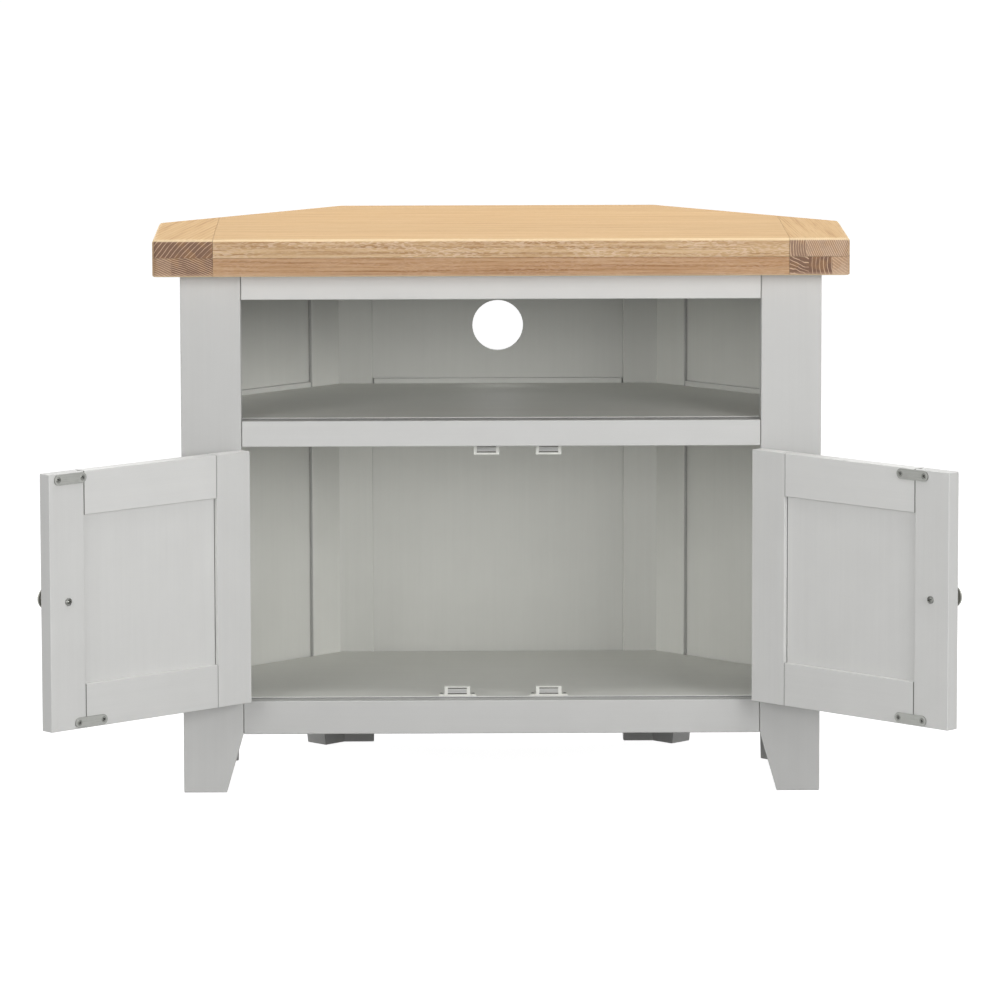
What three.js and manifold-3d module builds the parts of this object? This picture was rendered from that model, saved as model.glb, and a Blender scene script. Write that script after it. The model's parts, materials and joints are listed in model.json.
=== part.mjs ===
import * as THREE from 'three';
import { mergeVertices } from 'three/addons/utils/BufferGeometryUtils.js';
import Module from 'manifold-3d';

// Corner TV cabinet: a painted carcass with five walls behind a front of two legs and three rails,
// a two-layer oak top with end boards, and a pair of framed and panelled doors, swung open.
// Millimetres, +Z up, front towards -Y. Inside the model Y starts at the front face of the legs and
// Z at the floor; at the end the whole is set on the middle of its own footprint.

// Driving dimensions of the whole
const height = 649;
const openingWidth = 600;
const topSideLength = 202;
const topDiagonalDepth = 210;

// Oak top
const topLayer = 21.6;
const topOverhangFront = 32;
const topOverhangSide = 30.5;
const topOverhangBack = 13;
const topOverhangDiagonal = 2.1;
const endBoardWidth = 69.5;
const frontEdgingWidth = 70;
const topRound = 4.5;
const undersideRound = 1;
const topCornerRound = 7;
const roundSteps = 4;

// Front legs and the feet of the posts
const legWidth = 69.5;
const legThickness = 32;
const legFootWidth = 50;
const footHeight = 68.5;
const footThickness = 32;
const middleFootArm = 42;
const backFootArm = 37;

// Front rails, from the floor up
const bottomRailHeight = 39;
const cupboardHeight = 297.5;
const shelfRailHeight = 30;
const topRailHeight = 30;
const railDepth = 20;
const ledgeDepth = 30;

// Walls
const wallThickness = 20;
const returnArm = 40;
const sideArm = 45;
const backArm = 40.5;
const panelThickness = 8;
const panelRecess = 6;
const grooveDepth = 8;
const wallRailHeight = 39;
const stripRise = 6;
const stripEndGap = 1;

// Shelf and bottom board
const boardThickness = 18;
const boardRise = 1.5;

// Cable hole in the back panel
const cableHoleDiameter = 61;
const cableHoleHeightShare = 0.41;
const cableHoleSegments = 20;

// Doors
const doorThickness = 17;
const doorMemberWidth = 50;
const doorPanelThickness = 6;
const doorHeadGap = 2;
const doorMeetingGap = 2.2;
const doorArris = 0.5;
const panelExpansion = 1;
const leftDoorOpen = 138;
const rightDoorOpen = 135.4;

// Butt hinges
const hingeLength = 50;
const hingeLeafWidth = 14;
const hingeLeafThickness = 0.9;
const hingeLeafClearance = 0.4;
const hingeHoleDiameter = 3.2;
const hingeHoleSpacing = 17;
const knuckleDiameter = 6;
const knuckleLength = 17;
const pinDiameter = 3;
const hingeFromDoorEnd = 38;
const pinSegments = 16;
const holeSegments = 12;

// Knobs and their machine screws
const knobDiameter = 26;
const knobHeight = 28;
const knobFromEdge = 26;
const knobFootDiameter = 16;
const knobFootHeight = 2;
const knobNeckDiameter = 9.5;
const knobCrownShare = 0.75;
const knobFlareShare = 0.4;
const knobBoreDepth = 12;
const screwDiameter = 4;
const screwHeadDiameter = 8;
const screwHeadHeight = 2.4;
const screwReach = 9;
const turnedSegments = 28;

// Magnetic catches and the strike plates on the doors
const catchBodyWidth = 30;
const catchFlangeWidth = 44;
const catchHeight = 11.2;
const hangingCatchHeight = 12.6;
const catchFlangeHeight = 2;
const catchHoleDiameter = 3;
const catchDepth = 14;
const catchSlotWidth = 22.5;
const catchSlotHeight = 1.4;
const catchSlotDepth = 3;
const catchSlotLift = 2.3;
const catchSlotSpacing = 6.3;
const catchSetBack = 0.8;
const catchPlaces = { upper_left: -17, upper_right: 55, lower_left: -51.5, lower_right: 55 };
const strikeLength = 46;
const strikeWidth = 12;
const strikeThickness = 1.2;
const strikeHoleSpacing = 35;
const strikeHoleDiameter = 4;
const strikeFromDoorEnd = 7;
const strikeSegments = 8;
const strikePlaces = { upper_left: 30, lower_left: 57, upper_right: 53.5, lower_right: 54 };

// Clearances
const fit = 0.3;
const arris = 0.8;
const catchArris = 0.4;
const overrun = 5;

// Heights worked out from the driving dimensions
const carcassTop = height - 2 * topLayer;
const bottomRailTop = footHeight + bottomRailHeight;
const cupboardTop = bottomRailTop + cupboardHeight;
const shelfRailTop = cupboardTop + shelfRailHeight;
const topRailBottom = carcassTop - topRailHeight;
const bottomBoardTop = bottomRailTop + boardRise;
const shelfTop = shelfRailTop + boardRise;
const bottomBoardUnderside = bottomBoardTop - boardThickness;

const cableHoleHeight = shelfTop + cableHoleHeightShare * (carcassTop - shelfTop);

// Plan of the carcass and of the top. The slanted sides of both run at 45 degrees.
const halfWidth = openingWidth / 2 + legWidth;
const topHalfWidth = halfWidth + topOverhangSide;
const topSideY = topSideLength - topOverhangFront;
const topBackY = topSideY + topDiagonalDepth;
const topBackX = topHalfWidth - topDiagonalDepth;
const diagonalReach = topHalfWidth + topSideY - topOverhangDiagonal * Math.SQRT2;
const backY = topBackY - topOverhangBack;
const panelFromOutside = wallThickness - panelRecess - panelThickness;

const up = new THREE.Vector3(0, 0, 1);
const wasm = await Module();
wasm.setup();

const cabinet = new THREE.Group();
const leftDoor = new THREE.Group();
const rightDoor = new THREE.Group();

const paint = { color: 0xc8c9c7, roughness: 0.55, metalness: 0 };
const oak = { color: 0xd8b27c, roughness: 0.6, metalness: 0 };
const endGrainOak = { color: 0xb08a66, roughness: 0.7, metalness: 0 };
const nickel = { color: 0x8a8b86, roughness: 0.35, metalness: 1 };
const steel = { color: 0xa9aaa6, roughness: 0.4, metalness: 1 };
const hingeSteel = { color: 0x9a9a94, roughness: 0.4, metalness: 1 };
const palePlastic = { color: 0xd9dad5, roughness: 0.5, metalness: 0 };

function add(parent, name, geometry, finish) {
  const mesh = new THREE.Mesh(geometry, new THREE.MeshStandardMaterial(finish));
  mesh.name = name;
  parent.add(mesh);
  return mesh;
}

function point(x, y) {
  return new THREE.Vector2(x, y);
}

// The unit vector square to the line from one point to the next, on its left
function leftOf(from, to) {
  const along = to.clone().sub(from).normalize();
  return point(-along.y, along.x);
}

// An anticlockwise outline with every side moved inwards by one distance
function insetOutline(points, distance) {
  return points.map((corner, i) => {
    const before = leftOf(points.at(i - 1), corner);
    const after = leftOf(corner, points[(i + 1) % points.length]);
    const reach = distance / (1 + before.dot(after));
    return corner.clone().addScaledVector(before.add(after), reach);
  });
}

// An anticlockwise outline whose outward corners are arcs; one step makes a plain chamfer
function roundCorners(points, radius, steps) {
  return points.flatMap((corner, i) => {
    const before = leftOf(points.at(i - 1), corner);
    const after = leftOf(corner, points[(i + 1) % points.length]);
    const turn = Math.atan2(before.cross(after), before.dot(after));
    if (turn <= 0) return [corner.clone()];
    const reach = radius / (1 + before.dot(after));
    const centre = corner.clone().addScaledVector(before.clone().add(after), reach);
    const arc = [];
    for (let step = 0; step <= steps; step += 1) {
      const spoke = before.clone().multiplyScalar(-radius);
      arc.push(spoke.rotateAround(point(0, 0), (turn * step) / steps).add(centre));
    }
    return arc;
  });
}

// A closed skin through rings of equally many points, each ring level at its own height
function loft(rings) {
  const count = rings[0].points.length;
  const positions = rings.flatMap(({ points, z }) => points.flatMap((p) => [p.x, p.y, z]));
  const index = [];
  for (let ring = 0; ring + 1 < rings.length; ring += 1) {
    for (let i = 0; i < count; i += 1) {
      const a = ring * count + i;
      const b = ring * count + ((i + 1) % count);
      index.push(a, b, b + count, a, b + count, a + count);
    }
  }
  const last = (rings.length - 1) * count;
  for (const [a, b, c] of THREE.ShapeUtils.triangulateShape(rings[0].points, [])) index.push(c, b, a);
  for (const [a, b, c] of THREE.ShapeUtils.triangulateShape(rings.at(-1).points, [])) {
    index.push(last + a, last + b, last + c);
  }
  const geometry = new THREE.BufferGeometry();
  geometry.setAttribute('position', new THREE.Float32BufferAttribute(positions, 3));
  geometry.setIndex(index);
  return geometry;
}

// A straight piece with all of its arrises taken off, its outline raised from one height to another
function easedPrism(outline, bottom, top, ease = arris) {
  const side = roundCorners(outline, ease, 1);
  const end = insetOutline(side, ease);
  return loft([
    { points: end, z: bottom },
    { points: side, z: bottom + ease },
    { points: side, z: top - ease },
    { points: end, z: top },
  ]);
}

// A rectangle given by two opposite corners, anticlockwise
function rectangle(x0, y0, x1, y1) {
  return [point(x0, y0), point(x1, y0), point(x1, y1), point(x0, y1)];
}

// A plain box between two corners
function box(x0, y0, z0, x1, y1, z1) {
  const geometry = new THREE.BoxGeometry(x1 - x0, y1 - y0, z1 - z0);
  return geometry.translate((x0 + x1) / 2, (y0 + y1) / 2, (z0 + z1) / 2);
}

// A round bar along Z
function bar(diameter, x, y, bottom, top) {
  const geometry = new THREE.CylinderGeometry(diameter / 2, diameter / 2, top - bottom, pinSegments);
  return geometry.rotateX(Math.PI / 2).translate(x, y, (bottom + top) / 2);
}

function toSolid(geometry) {
  const bare = geometry.clone();
  bare.deleteAttribute('normal');
  bare.deleteAttribute('uv');
  const merged = mergeVertices(bare);
  return new wasm.Manifold(new wasm.Mesh({
    numProp: 3,
    vertProperties: Float32Array.from(merged.attributes.position.array),
    triVerts: Uint32Array.from(merged.index.array),
  }));
}

function toGeometry(solid) {
  const mesh = solid.getMesh();
  const geometry = new THREE.BufferGeometry();
  geometry.setAttribute('position', new THREE.BufferAttribute(mesh.vertProperties, 3));
  geometry.setIndex(new THREE.BufferAttribute(mesh.triVerts, 1));
  return geometry;
}

function join(...geometries) {
  return toGeometry(geometries.map(toSolid).reduce((whole, solid) => whole.add(solid)));
}

function cut(geometry, ...cutters) {
  return toGeometry(cutters.map(toSolid).reduce((rest, solid) => rest.subtract(solid), toSolid(geometry)));
}

function common(geometry, other) {
  return toGeometry(toSolid(geometry).intersect(toSolid(other)));
}

// The same piece on the other side of the middle plane
function mirrored(geometry) {
  const copy = geometry.clone().scale(-1, 1, 1);
  const index = copy.index.array;
  for (let i = 0; i < index.length; i += 3) [index[i], index[i + 1]] = [index[i + 1], index[i]];
  return copy;
}

// Adds a piece on the right and its mirror image on the left
function addPair(name, geometry, finish) {
  add(cabinet, `${name}_right`, geometry, finish);
  add(cabinet, `${name}_left`, mirrored(geometry), finish);
}

// A wall of the carcass, followed anticlockwise: its inward side is on the left. The clear span between
// the posts that hold it starts and ends at the given distances from its outer corners.
function wall(start, end, spanFrom, spanTo) {
  const length = start.distanceTo(end);
  const along = end.clone().sub(start).normalize();
  const inward = leftOf(start, end);
  return { start, along, inward, from: spanFrom, to: length - spanTo };
}

// The plan point at a distance along a wall and a distance in from its outer face
function onWall(side, distance, depth) {
  return side.start.clone().addScaledVector(side.along, distance).addScaledVector(side.inward, depth);
}

// Where the inner faces of two walls meet, a given depth in from their outer faces
function innerCorner(before, after, depth) {
  const reach = depth / (1 + before.inward.dot(after.inward));
  return after.start.clone().addScaledVector(before.inward.clone().add(after.inward), reach);
}

// Turns a piece made along local Z so that it lies along a wall, its local X pointing inwards
function layAlong(side, geometry) {
  const along = new THREE.Vector3(side.along.x, side.along.y, 0);
  const inward = new THREE.Vector3(side.inward.x, side.inward.y, 0);
  const turn = new THREE.Matrix4().makeBasis(inward, up, along);
  turn.setPosition(side.start.x, side.start.y, 0);
  return geometry.applyMatrix4(turn);
}

const cornerSetBack = wallThickness * Math.tan(Math.PI / 8);
const sideCornerY = diagonalReach - halfWidth;
const backCornerX = diagonalReach - backY;
const planCorners = [
  point(halfWidth, 0),
  point(halfWidth, sideCornerY),
  point(backCornerX, backY),
  point(-backCornerX, backY),
  point(-halfWidth, sideCornerY),
  point(-halfWidth, 0),
];
const walls = {
  returnRight: wall(planCorners[0], planCorners[1], legThickness, cornerSetBack + returnArm),
  sideRight: wall(planCorners[1], planCorners[2], cornerSetBack + sideArm, cornerSetBack + sideArm),
  back: wall(planCorners[2], planCorners[3], cornerSetBack + backArm, cornerSetBack + backArm),
  sideLeft: wall(planCorners[3], planCorners[4], cornerSetBack + sideArm, cornerSetBack + sideArm),
};

// The outline of the whole oak top, from its front left corner
function topOutline() {
  const front = -topOverhangFront;
  return [
    point(-topHalfWidth, front),
    point(topHalfWidth, front),
    point(topHalfWidth, topSideY),
    point(topBackX, topBackY),
    point(-topBackX, topBackY),
    point(-topHalfWidth, topSideY),
  ];
}

// The oak slab before it is divided into boards: rounded over above, eased below
function oakSlab() {
  const side = roundCorners(topOutline(), topCornerRound, roundSteps);
  const rings = [
    { points: insetOutline(side, undersideRound), z: carcassTop },
    { points: side, z: carcassTop + undersideRound },
  ];
  for (let step = 0; step <= roundSteps; step += 1) {
    const angle = (step / roundSteps) * (Math.PI / 2);
    const inset = topRound * (1 - Math.cos(angle));
    rings.push({ points: insetOutline(side, inset), z: height - topRound * (1 - Math.sin(angle)) });
  }
  return loft(rings);
}

// Two layers of oak. In each a wide field runs between two end boards whose grain runs front to back;
// in the lower one a strip along the front edge stands for the field's own front edge.
function addTop() {
  const slab = oakSlab();
  const jointX = topHalfWidth - endBoardWidth;
  const front = -topOverhangFront;
  const edgingBack = front + frontEdgingWidth;
  const split = carcassTop + topLayer;
  const above = height + overrun;
  const below = carcassTop - overrun;
  const farX = topHalfWidth + overrun;
  const nearY = front - overrun;
  const farY = topBackY + overrun;
  const gap = fit / 2;
  const field = common(slab, box(-jointX + gap, nearY, split + gap, jointX - gap, farY, above));
  add(cabinet, 'top_field', field, oak);
  const endBoard = common(slab, box(jointX + gap, nearY, split + gap, farX, farY, above));
  addPair('top_end_board', endBoard, endGrainOak);
  const edging = common(slab, box(-jointX + gap, nearY, below, jointX - gap, edgingBack - gap, split - gap));
  add(cabinet, 'top_front_edging', edging, oak);
  const under = common(slab, box(-jointX + gap, edgingBack + gap, below, jointX - gap, farY, split - gap));
  add(cabinet, 'top_under_board', under, oak);
  const underEnd = common(slab, box(jointX + gap, nearY, below, farX, farY, split - gap));
  addPair('top_under_end', underEnd, endGrainOak);
}

// A front leg: square above the bottom rail, its inner side tapering to the floor, and grooved at the
// back for the side board
function addLegs() {
  const inner = openingWidth / 2;
  const outer = halfWidth;
  const footInner = outer - legFootWidth;
  const full = roundCorners(rectangle(inner, 0, outer, legThickness), arris, 1);
  const toe = roundCorners(rectangle(footInner, 0, outer, legThickness), arris, 1);
  const foot = loft([
    { points: insetOutline(toe, arris), z: 0 },
    { points: toe, z: arris },
    { points: full, z: footHeight },
    { points: full, z: bottomBoardUnderside },
  ]);
  const grooveInner = outer - panelFromOutside - panelThickness - fit;
  const grooveOuter = outer - panelFromOutside + fit;
  const section = [
    point(inner, 0),
    point(outer, 0),
    point(outer, legThickness),
    point(grooveOuter, legThickness),
    point(grooveOuter, legThickness - grooveDepth),
    point(grooveInner, legThickness - grooveDepth),
    point(grooveInner, legThickness),
    point(inner, legThickness),
  ];
  const shaft = easedPrism(section, bottomBoardUnderside - overrun, carcassTop);
  addPair('leg_front', join(foot, shaft), paint);
}

// The section of a post bent round a corner between two walls, with an arm along each, as long as given
// on the inside of a wall; with grooves the arm ends take the panels' edges
function bentSection(before, after, thickness, armBefore, armAfter, grooved) {
  const inner = innerCorner(before, after, thickness);
  const outerBefore = after.start.clone().addScaledVector(before.along, -cornerSetBack - armBefore);
  const outerAfter = after.start.clone().addScaledVector(after.along, cornerSetBack + armAfter);
  const endBefore = outerBefore.clone().addScaledVector(before.inward, thickness);
  const endAfter = outerAfter.clone().addScaledVector(after.inward, thickness);
  const near = panelFromOutside - fit;
  const far = panelFromOutside + panelThickness + fit;
  const notch = (outerEnd, side, inwards) => [
    outerEnd.clone().addScaledVector(side.inward, near),
    outerEnd.clone().addScaledVector(side.inward, near).addScaledVector(side.along, inwards * grooveDepth),
    outerEnd.clone().addScaledVector(side.inward, far).addScaledVector(side.along, inwards * grooveDepth),
    outerEnd.clone().addScaledVector(side.inward, far),
  ];
  const grooveAfter = grooved ? notch(outerAfter, after, -1) : [];
  const grooveBefore = grooved ? notch(outerBefore, before, 1).reverse() : [];
  const armAlong = [outerAfter, ...grooveAfter, endAfter];
  const armBack = [endBefore, ...grooveBefore, outerBefore];
  return [after.start.clone(), ...armAlong, inner, ...armBack];
}

// A post at a corner of the plan: a thicker foot under the bottom board, whose arm along the side wall
// tapers to the floor, and the grooved shaft that stands on it
function addBentPost(name, before, after, armBefore, armAfter, toeBefore, toeAfter) {
  const full = bentSection(before, after, footThickness, armBefore, armAfter, false);
  const toe = bentSection(before, after, footThickness, toeBefore, toeAfter, false);
  const easedFull = roundCorners(full, arris, 1);
  const easedToe = roundCorners(toe, arris, 1);
  const foot = loft([
    { points: insetOutline(easedToe, arris), z: 0 },
    { points: easedToe, z: arris },
    { points: easedFull, z: footHeight },
    { points: easedFull, z: bottomBoardUnderside },
  ]);
  const section = bentSection(before, after, wallThickness, armBefore, armAfter, true);
  const shaft = easedPrism(section, bottomBoardUnderside - overrun, carcassTop);
  addPair(name, join(foot, shaft), paint);
}

function addPosts() {
  const { returnRight, sideRight, back } = walls;
  addBentPost('post_middle', returnRight, sideRight, returnArm, sideArm, returnArm, middleFootArm);
  addBentPost('post_back', sideRight, back, sideArm, backArm, backFootArm, backArm);
}

// The side board between a front leg and a middle post, with a tongue along both edges
function addSideBoards() {
  const side = walls.returnRight;
  const body = rectangle(side.from + fit, 0, side.to - fit, wallThickness);
  const tongueFrom = side.from - grooveDepth + fit;
  const tongueTo = side.to + grooveDepth - fit;
  const tongue = rectangle(tongueFrom, panelFromOutside, tongueTo, panelFromOutside + panelThickness);
  const place = (outline) => outline.map((p) => onWall(side, p.x, p.y));
  const board = easedPrism(place(body), footHeight, carcassTop);
  const tongued = easedPrism(place(tongue), bottomBoardUnderside + fit, carcassTop - arris);
  addPair('side_board', join(board, tongued), paint);
}

// A thin panel held in the grooves of its two posts and of the rail below it
function panelGeometry(side, hole) {
  const from = side.from - grooveDepth + fit;
  const to = side.to + grooveDepth - fit;
  const bottom = bottomRailTop - grooveDepth + fit;
  const outline = new THREE.Shape(rectangle(from, bottom, to, carcassTop));
  if (hole) outline.holes.push(hole);
  const settings = { depth: panelThickness, bevelEnabled: false, curveSegments: cableHoleSegments };
  const geometry = new THREE.ExtrudeGeometry(outline, settings);
  const along = new THREE.Vector3(side.along.x, side.along.y, 0);
  const outward = new THREE.Vector3(-side.inward.x, -side.inward.y, 0);
  const innerFace = onWall(side, 0, panelFromOutside + panelThickness);
  const turn = new THREE.Matrix4().makeBasis(along, up, outward);
  turn.setPosition(innerFace.x, innerFace.y, 0);
  return geometry.applyMatrix4(turn);
}

// The rail under a panel, grooved along its top edge
function wallRailGeometry(side) {
  const near = panelFromOutside - fit;
  const far = panelFromOutside + panelThickness + fit;
  const top = footHeight + wallRailHeight;
  const section = [
    point(0, footHeight),
    point(wallThickness, footHeight),
    point(wallThickness, top),
    point(far, top),
    point(far, top - grooveDepth),
    point(near, top - grooveDepth),
    point(near, top),
    point(0, top),
  ];
  return layAlong(side, easedPrism(section, side.from + fit, side.to - fit));
}

// The strip planted on a panel where the shelf meets it, flush with the posts
function shelfStripGeometry(side) {
  const near = wallThickness - panelRecess + fit;
  const section = rectangle(near, cupboardTop, wallThickness, shelfTop + stripRise);
  return layAlong(side, easedPrism(section, side.from + stripEndGap, side.to - stripEndGap));
}

function addPanels() {
  const { sideRight, sideLeft, back } = walls;
  const middle = (back.from + back.to) / 2;
  const cableHole = new THREE.Path();
  cableHole.absarc(middle, cableHoleHeight, cableHoleDiameter / 2, 0, 2 * Math.PI, true);
  add(cabinet, 'panel_side_right', panelGeometry(sideRight), paint);
  add(cabinet, 'panel_side_left', panelGeometry(sideLeft), paint);
  add(cabinet, 'panel_back', panelGeometry(back, cableHole), paint);
  const sides = { side_right: sideRight, side_left: sideLeft, back };
  for (const [name, side] of Object.entries(sides)) {
    add(cabinet, `rail_bottom_${name}`, wallRailGeometry(side), paint);
    add(cabinet, `shelf_strip_${name}`, shelfStripGeometry(side), paint);
  }
}

// A front rail between the legs. Where it carries a board it has a ledge behind, under the board.
function addFrontRail(name, bottom, top, ledgeTop) {
  const back = railDepth;
  const ledge = [
    point(0, bottom),
    point(back + ledgeDepth, bottom),
    point(back + ledgeDepth, ledgeTop),
    point(back, ledgeTop),
    point(back, top),
    point(0, top),
  ];
  const section = ledgeTop > bottom ? ledge : rectangle(0, bottom, back, top);
  const length = openingWidth - 2 * fit;
  const geometry = easedPrism(section, 0, length);
  const turn = new THREE.Matrix4().makeBasis(new THREE.Vector3(0, 1, 0), up, new THREE.Vector3(1, 0, 0));
  turn.setPosition(-length / 2, 0, 0);
  add(cabinet, name, geometry.applyMatrix4(turn), paint);
}

function addFrontRails() {
  addFrontRail('rail_bottom_front', footHeight, bottomRailTop, bottomBoardUnderside);
  addFrontRail('rail_shelf_front', cupboardTop, shelfRailTop, shelfTop - boardThickness);
  addFrontRail('rail_top_front', topRailBottom, carcassTop, topRailBottom);
}

// A board that fills the plan behind the front rails, notched round the legs
function addBoard(name, top) {
  const { returnRight, sideRight, back } = walls;
  const depth = wallThickness + fit;
  const right = [
    point(openingWidth / 2 - fit, railDepth + fit),
    point(openingWidth / 2 - fit, legThickness + fit),
    point(halfWidth - depth, legThickness + fit),
    innerCorner(returnRight, sideRight, depth),
    innerCorner(sideRight, back, depth),
  ];
  const left = right.map((p) => point(-p.x, p.y)).reverse();
  add(cabinet, name, easedPrism([...right, ...left], top - boardThickness, top), paint);
}

// Sizes of a door, seen in its own frame: the hinge pin stands at the origin, the door reaches along +X
// and its outer face looks along -Y. The knuckle stands clear of the leg's front, the leaf on the door
// runs off its far side, and the leaf on the leg lies beside that one, against the leg.
const pinStandOff = knuckleDiameter / 2 + fit;
const doorEdge = knuckleDiameter / 2 + fit;
const doorLeafX = knuckleDiameter / 2 - hingeLeafThickness;
const legLeafX = doorLeafX - hingeLeafClearance - hingeLeafThickness;
const leafClearOfKnuckle = knuckleDiameter / 2 + 2 * fit;
const leafFar = knuckleDiameter / 2 + hingeLeafWidth;
const pinX = openingWidth / 2 + legLeafX;
const doorWidth = pinX - doorEdge - doorMeetingGap / 2;
const doorBottom = bottomRailTop + doorHeadGap;
const doorTop = cupboardTop - doorHeadGap;
const doorOuter = pinStandOff;
const doorInner = doorOuter + doorThickness;
const doorFree = doorEdge + doorWidth;
const doorMiddle = (doorBottom + doorTop) / 2;
const doorGrooveNear = doorOuter + (doorThickness - doorPanelThickness) / 2;
const doorGrooveFar = doorGrooveNear + doorPanelThickness;

// A stile, grooved along the edge that faces the panel
function stileGeometry(outerX, innerX) {
  const towards = Math.sign(outerX - innerX);
  const outline = [
    point(outerX, doorOuter),
    point(innerX, doorOuter),
    point(innerX, doorGrooveNear - fit),
    point(innerX + towards * grooveDepth, doorGrooveNear - fit),
    point(innerX + towards * grooveDepth, doorGrooveFar + fit),
    point(innerX, doorGrooveFar + fit),
    point(innerX, doorInner),
    point(outerX, doorInner),
  ];
  const anticlockwise = towards < 0 ? outline : outline.reverse();
  return easedPrism(anticlockwise, doorBottom, doorTop, doorArris);
}

// A door rail, grooved along the edge that faces the panel, with stub tenons in the stiles' grooves
function doorRailGeometry(outerZ, innerZ) {
  const towards = Math.sign(outerZ - innerZ);
  const outline = [
    point(doorOuter, outerZ),
    point(doorOuter, innerZ),
    point(doorGrooveNear - fit, innerZ),
    point(doorGrooveNear - fit, innerZ + towards * grooveDepth),
    point(doorGrooveFar + fit, innerZ + towards * grooveDepth),
    point(doorGrooveFar + fit, innerZ),
    point(doorInner, innerZ),
    point(doorInner, outerZ),
  ];
  const anticlockwise = towards > 0 ? outline : outline.reverse();
  const from = doorEdge + doorMemberWidth + fit;
  const to = doorFree - doorMemberWidth - fit;
  const reach = grooveDepth - 2 * fit;
  const body = easedPrism(anticlockwise, from, to, doorArris);
  const turn = new THREE.Matrix4().makeBasis(new THREE.Vector3(0, 1, 0), up, new THREE.Vector3(1, 0, 0));
  const shoulder = outerZ - towards * doorArris;
  const root = innerZ + towards * (grooveDepth + fit);
  const low = Math.min(shoulder, root);
  const high = Math.max(shoulder, root);
  const tenon = box(from - reach, doorGrooveNear, low, to + reach, doorGrooveFar, high);
  return join(body.applyMatrix4(turn), tenon);
}

function doorPanelGeometry() {
  const reach = grooveDepth - panelExpansion;
  const outline = rectangle(
    doorEdge + doorMemberWidth - reach,
    doorGrooveNear,
    doorFree - doorMemberWidth + reach,
    doorGrooveFar,
  );
  const bottom = doorBottom + doorMemberWidth - reach;
  return easedPrism(outline, bottom, doorTop - doorMemberWidth + reach, doorArris);
}

// A mushroom knob turned about its screw, with the blind bore that the screw enters
function knobGeometry() {
  const bore = screwDiameter / 2 + fit;
  const neck = knobNeckDiameter / 2;
  const brim = knobDiameter / 2;
  const crown = knobCrownShare * knobHeight;
  const flareStart = knobFlareShare * knobHeight;
  const profile = [
    point(0, knobBoreDepth),
    point(bore, knobBoreDepth),
    point(bore, 0),
    point(knobFootDiameter / 2, 0),
    point(knobFootDiameter / 2, knobFootHeight),
    point(neck, 2 * knobFootHeight),
    point(neck, flareStart),
  ];
  const edge = point(brim, crown);
  const flare = new THREE.QuadraticBezierCurve(point(neck, flareStart), point(neck, crown), edge);
  const dome = new THREE.QuadraticBezierCurve(edge, point(brim, knobHeight), point(0, knobHeight));
  profile.push(...flare.getPoints(roundSteps).slice(1), ...dome.getPoints(2 * roundSteps).slice(1));
  const geometry = new THREE.LatheGeometry(profile, turnedSegments).rotateX(Math.PI);
  return geometry.translate(doorFree - knobFromEdge, doorOuter - fit, doorMiddle);
}

// The machine screw that holds the knob, its domed head on the door's inner face
function knobScrewGeometry() {
  const shank = screwDiameter / 2;
  const head = screwHeadDiameter / 2;
  const shankLength = fit + doorThickness + fit + screwReach;
  const profile = [
    point(0, -shankLength),
    point(shank, -shankLength),
    point(shank, 0),
    point(head, 0),
  ];
  const rim = point(head, 0);
  const crest = point(0, screwHeadHeight);
  const brow = new THREE.QuadraticBezierCurve(rim, point(head, screwHeadHeight), crest);
  profile.push(...brow.getPoints(roundSteps).slice(1));
  const geometry = new THREE.LatheGeometry(profile, turnedSegments / 2);
  return geometry.translate(doorFree - knobFromEdge, doorInner + fit, doorMiddle);
}

// The hole for that screw
function knobScrewHole() {
  const geometry = new THREE.CylinderGeometry(
    screwDiameter / 2 + fit,
    screwDiameter / 2 + fit,
    doorThickness + 2 * overrun,
    pinSegments,
  );
  return geometry.translate(doorFree - knobFromEdge, (doorOuter + doorInner) / 2, doorMiddle);
}

// A strike plate on the door's inner face: round ends and two screw holes
function strikeGeometry(fromFree, z) {
  const radius = strikeWidth / 2;
  const straight = strikeLength / 2 - radius;
  const outline = new THREE.Shape();
  outline.absarc(straight, 0, radius, -Math.PI / 2, Math.PI / 2, false);
  outline.absarc(-straight, 0, radius, Math.PI / 2, (3 * Math.PI) / 2, false);
  for (const side of [-1, 1]) {
    const hole = new THREE.Path();
    hole.absarc((side * strikeHoleSpacing) / 2, 0, strikeHoleDiameter / 2, 0, 2 * Math.PI, true);
    outline.holes.push(hole);
  }
  const settings = { depth: strikeThickness, bevelEnabled: false, curveSegments: strikeSegments };
  const geometry = new THREE.ExtrudeGeometry(outline, settings).rotateX(Math.PI / 2);
  return geometry.translate(doorFree - fromFree, doorInner + fit + strikeThickness, z);
}

// The three screw holes through a leaf that lies from one X to another, about a height
function leafHoles(from, to, z) {
  const middle = (leafClearOfKnuckle + leafFar) / 2;
  return [-hingeHoleSpacing, 0, hingeHoleSpacing].map((rise) => {
    const radius = hingeHoleDiameter / 2;
    const hole = new THREE.CylinderGeometry(radius, radius, to - from + 2 * fit, holeSegments);
    return hole.rotateZ(Math.PI / 2).translate((from + to) / 2, middle, z + rise);
  });
}

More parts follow.
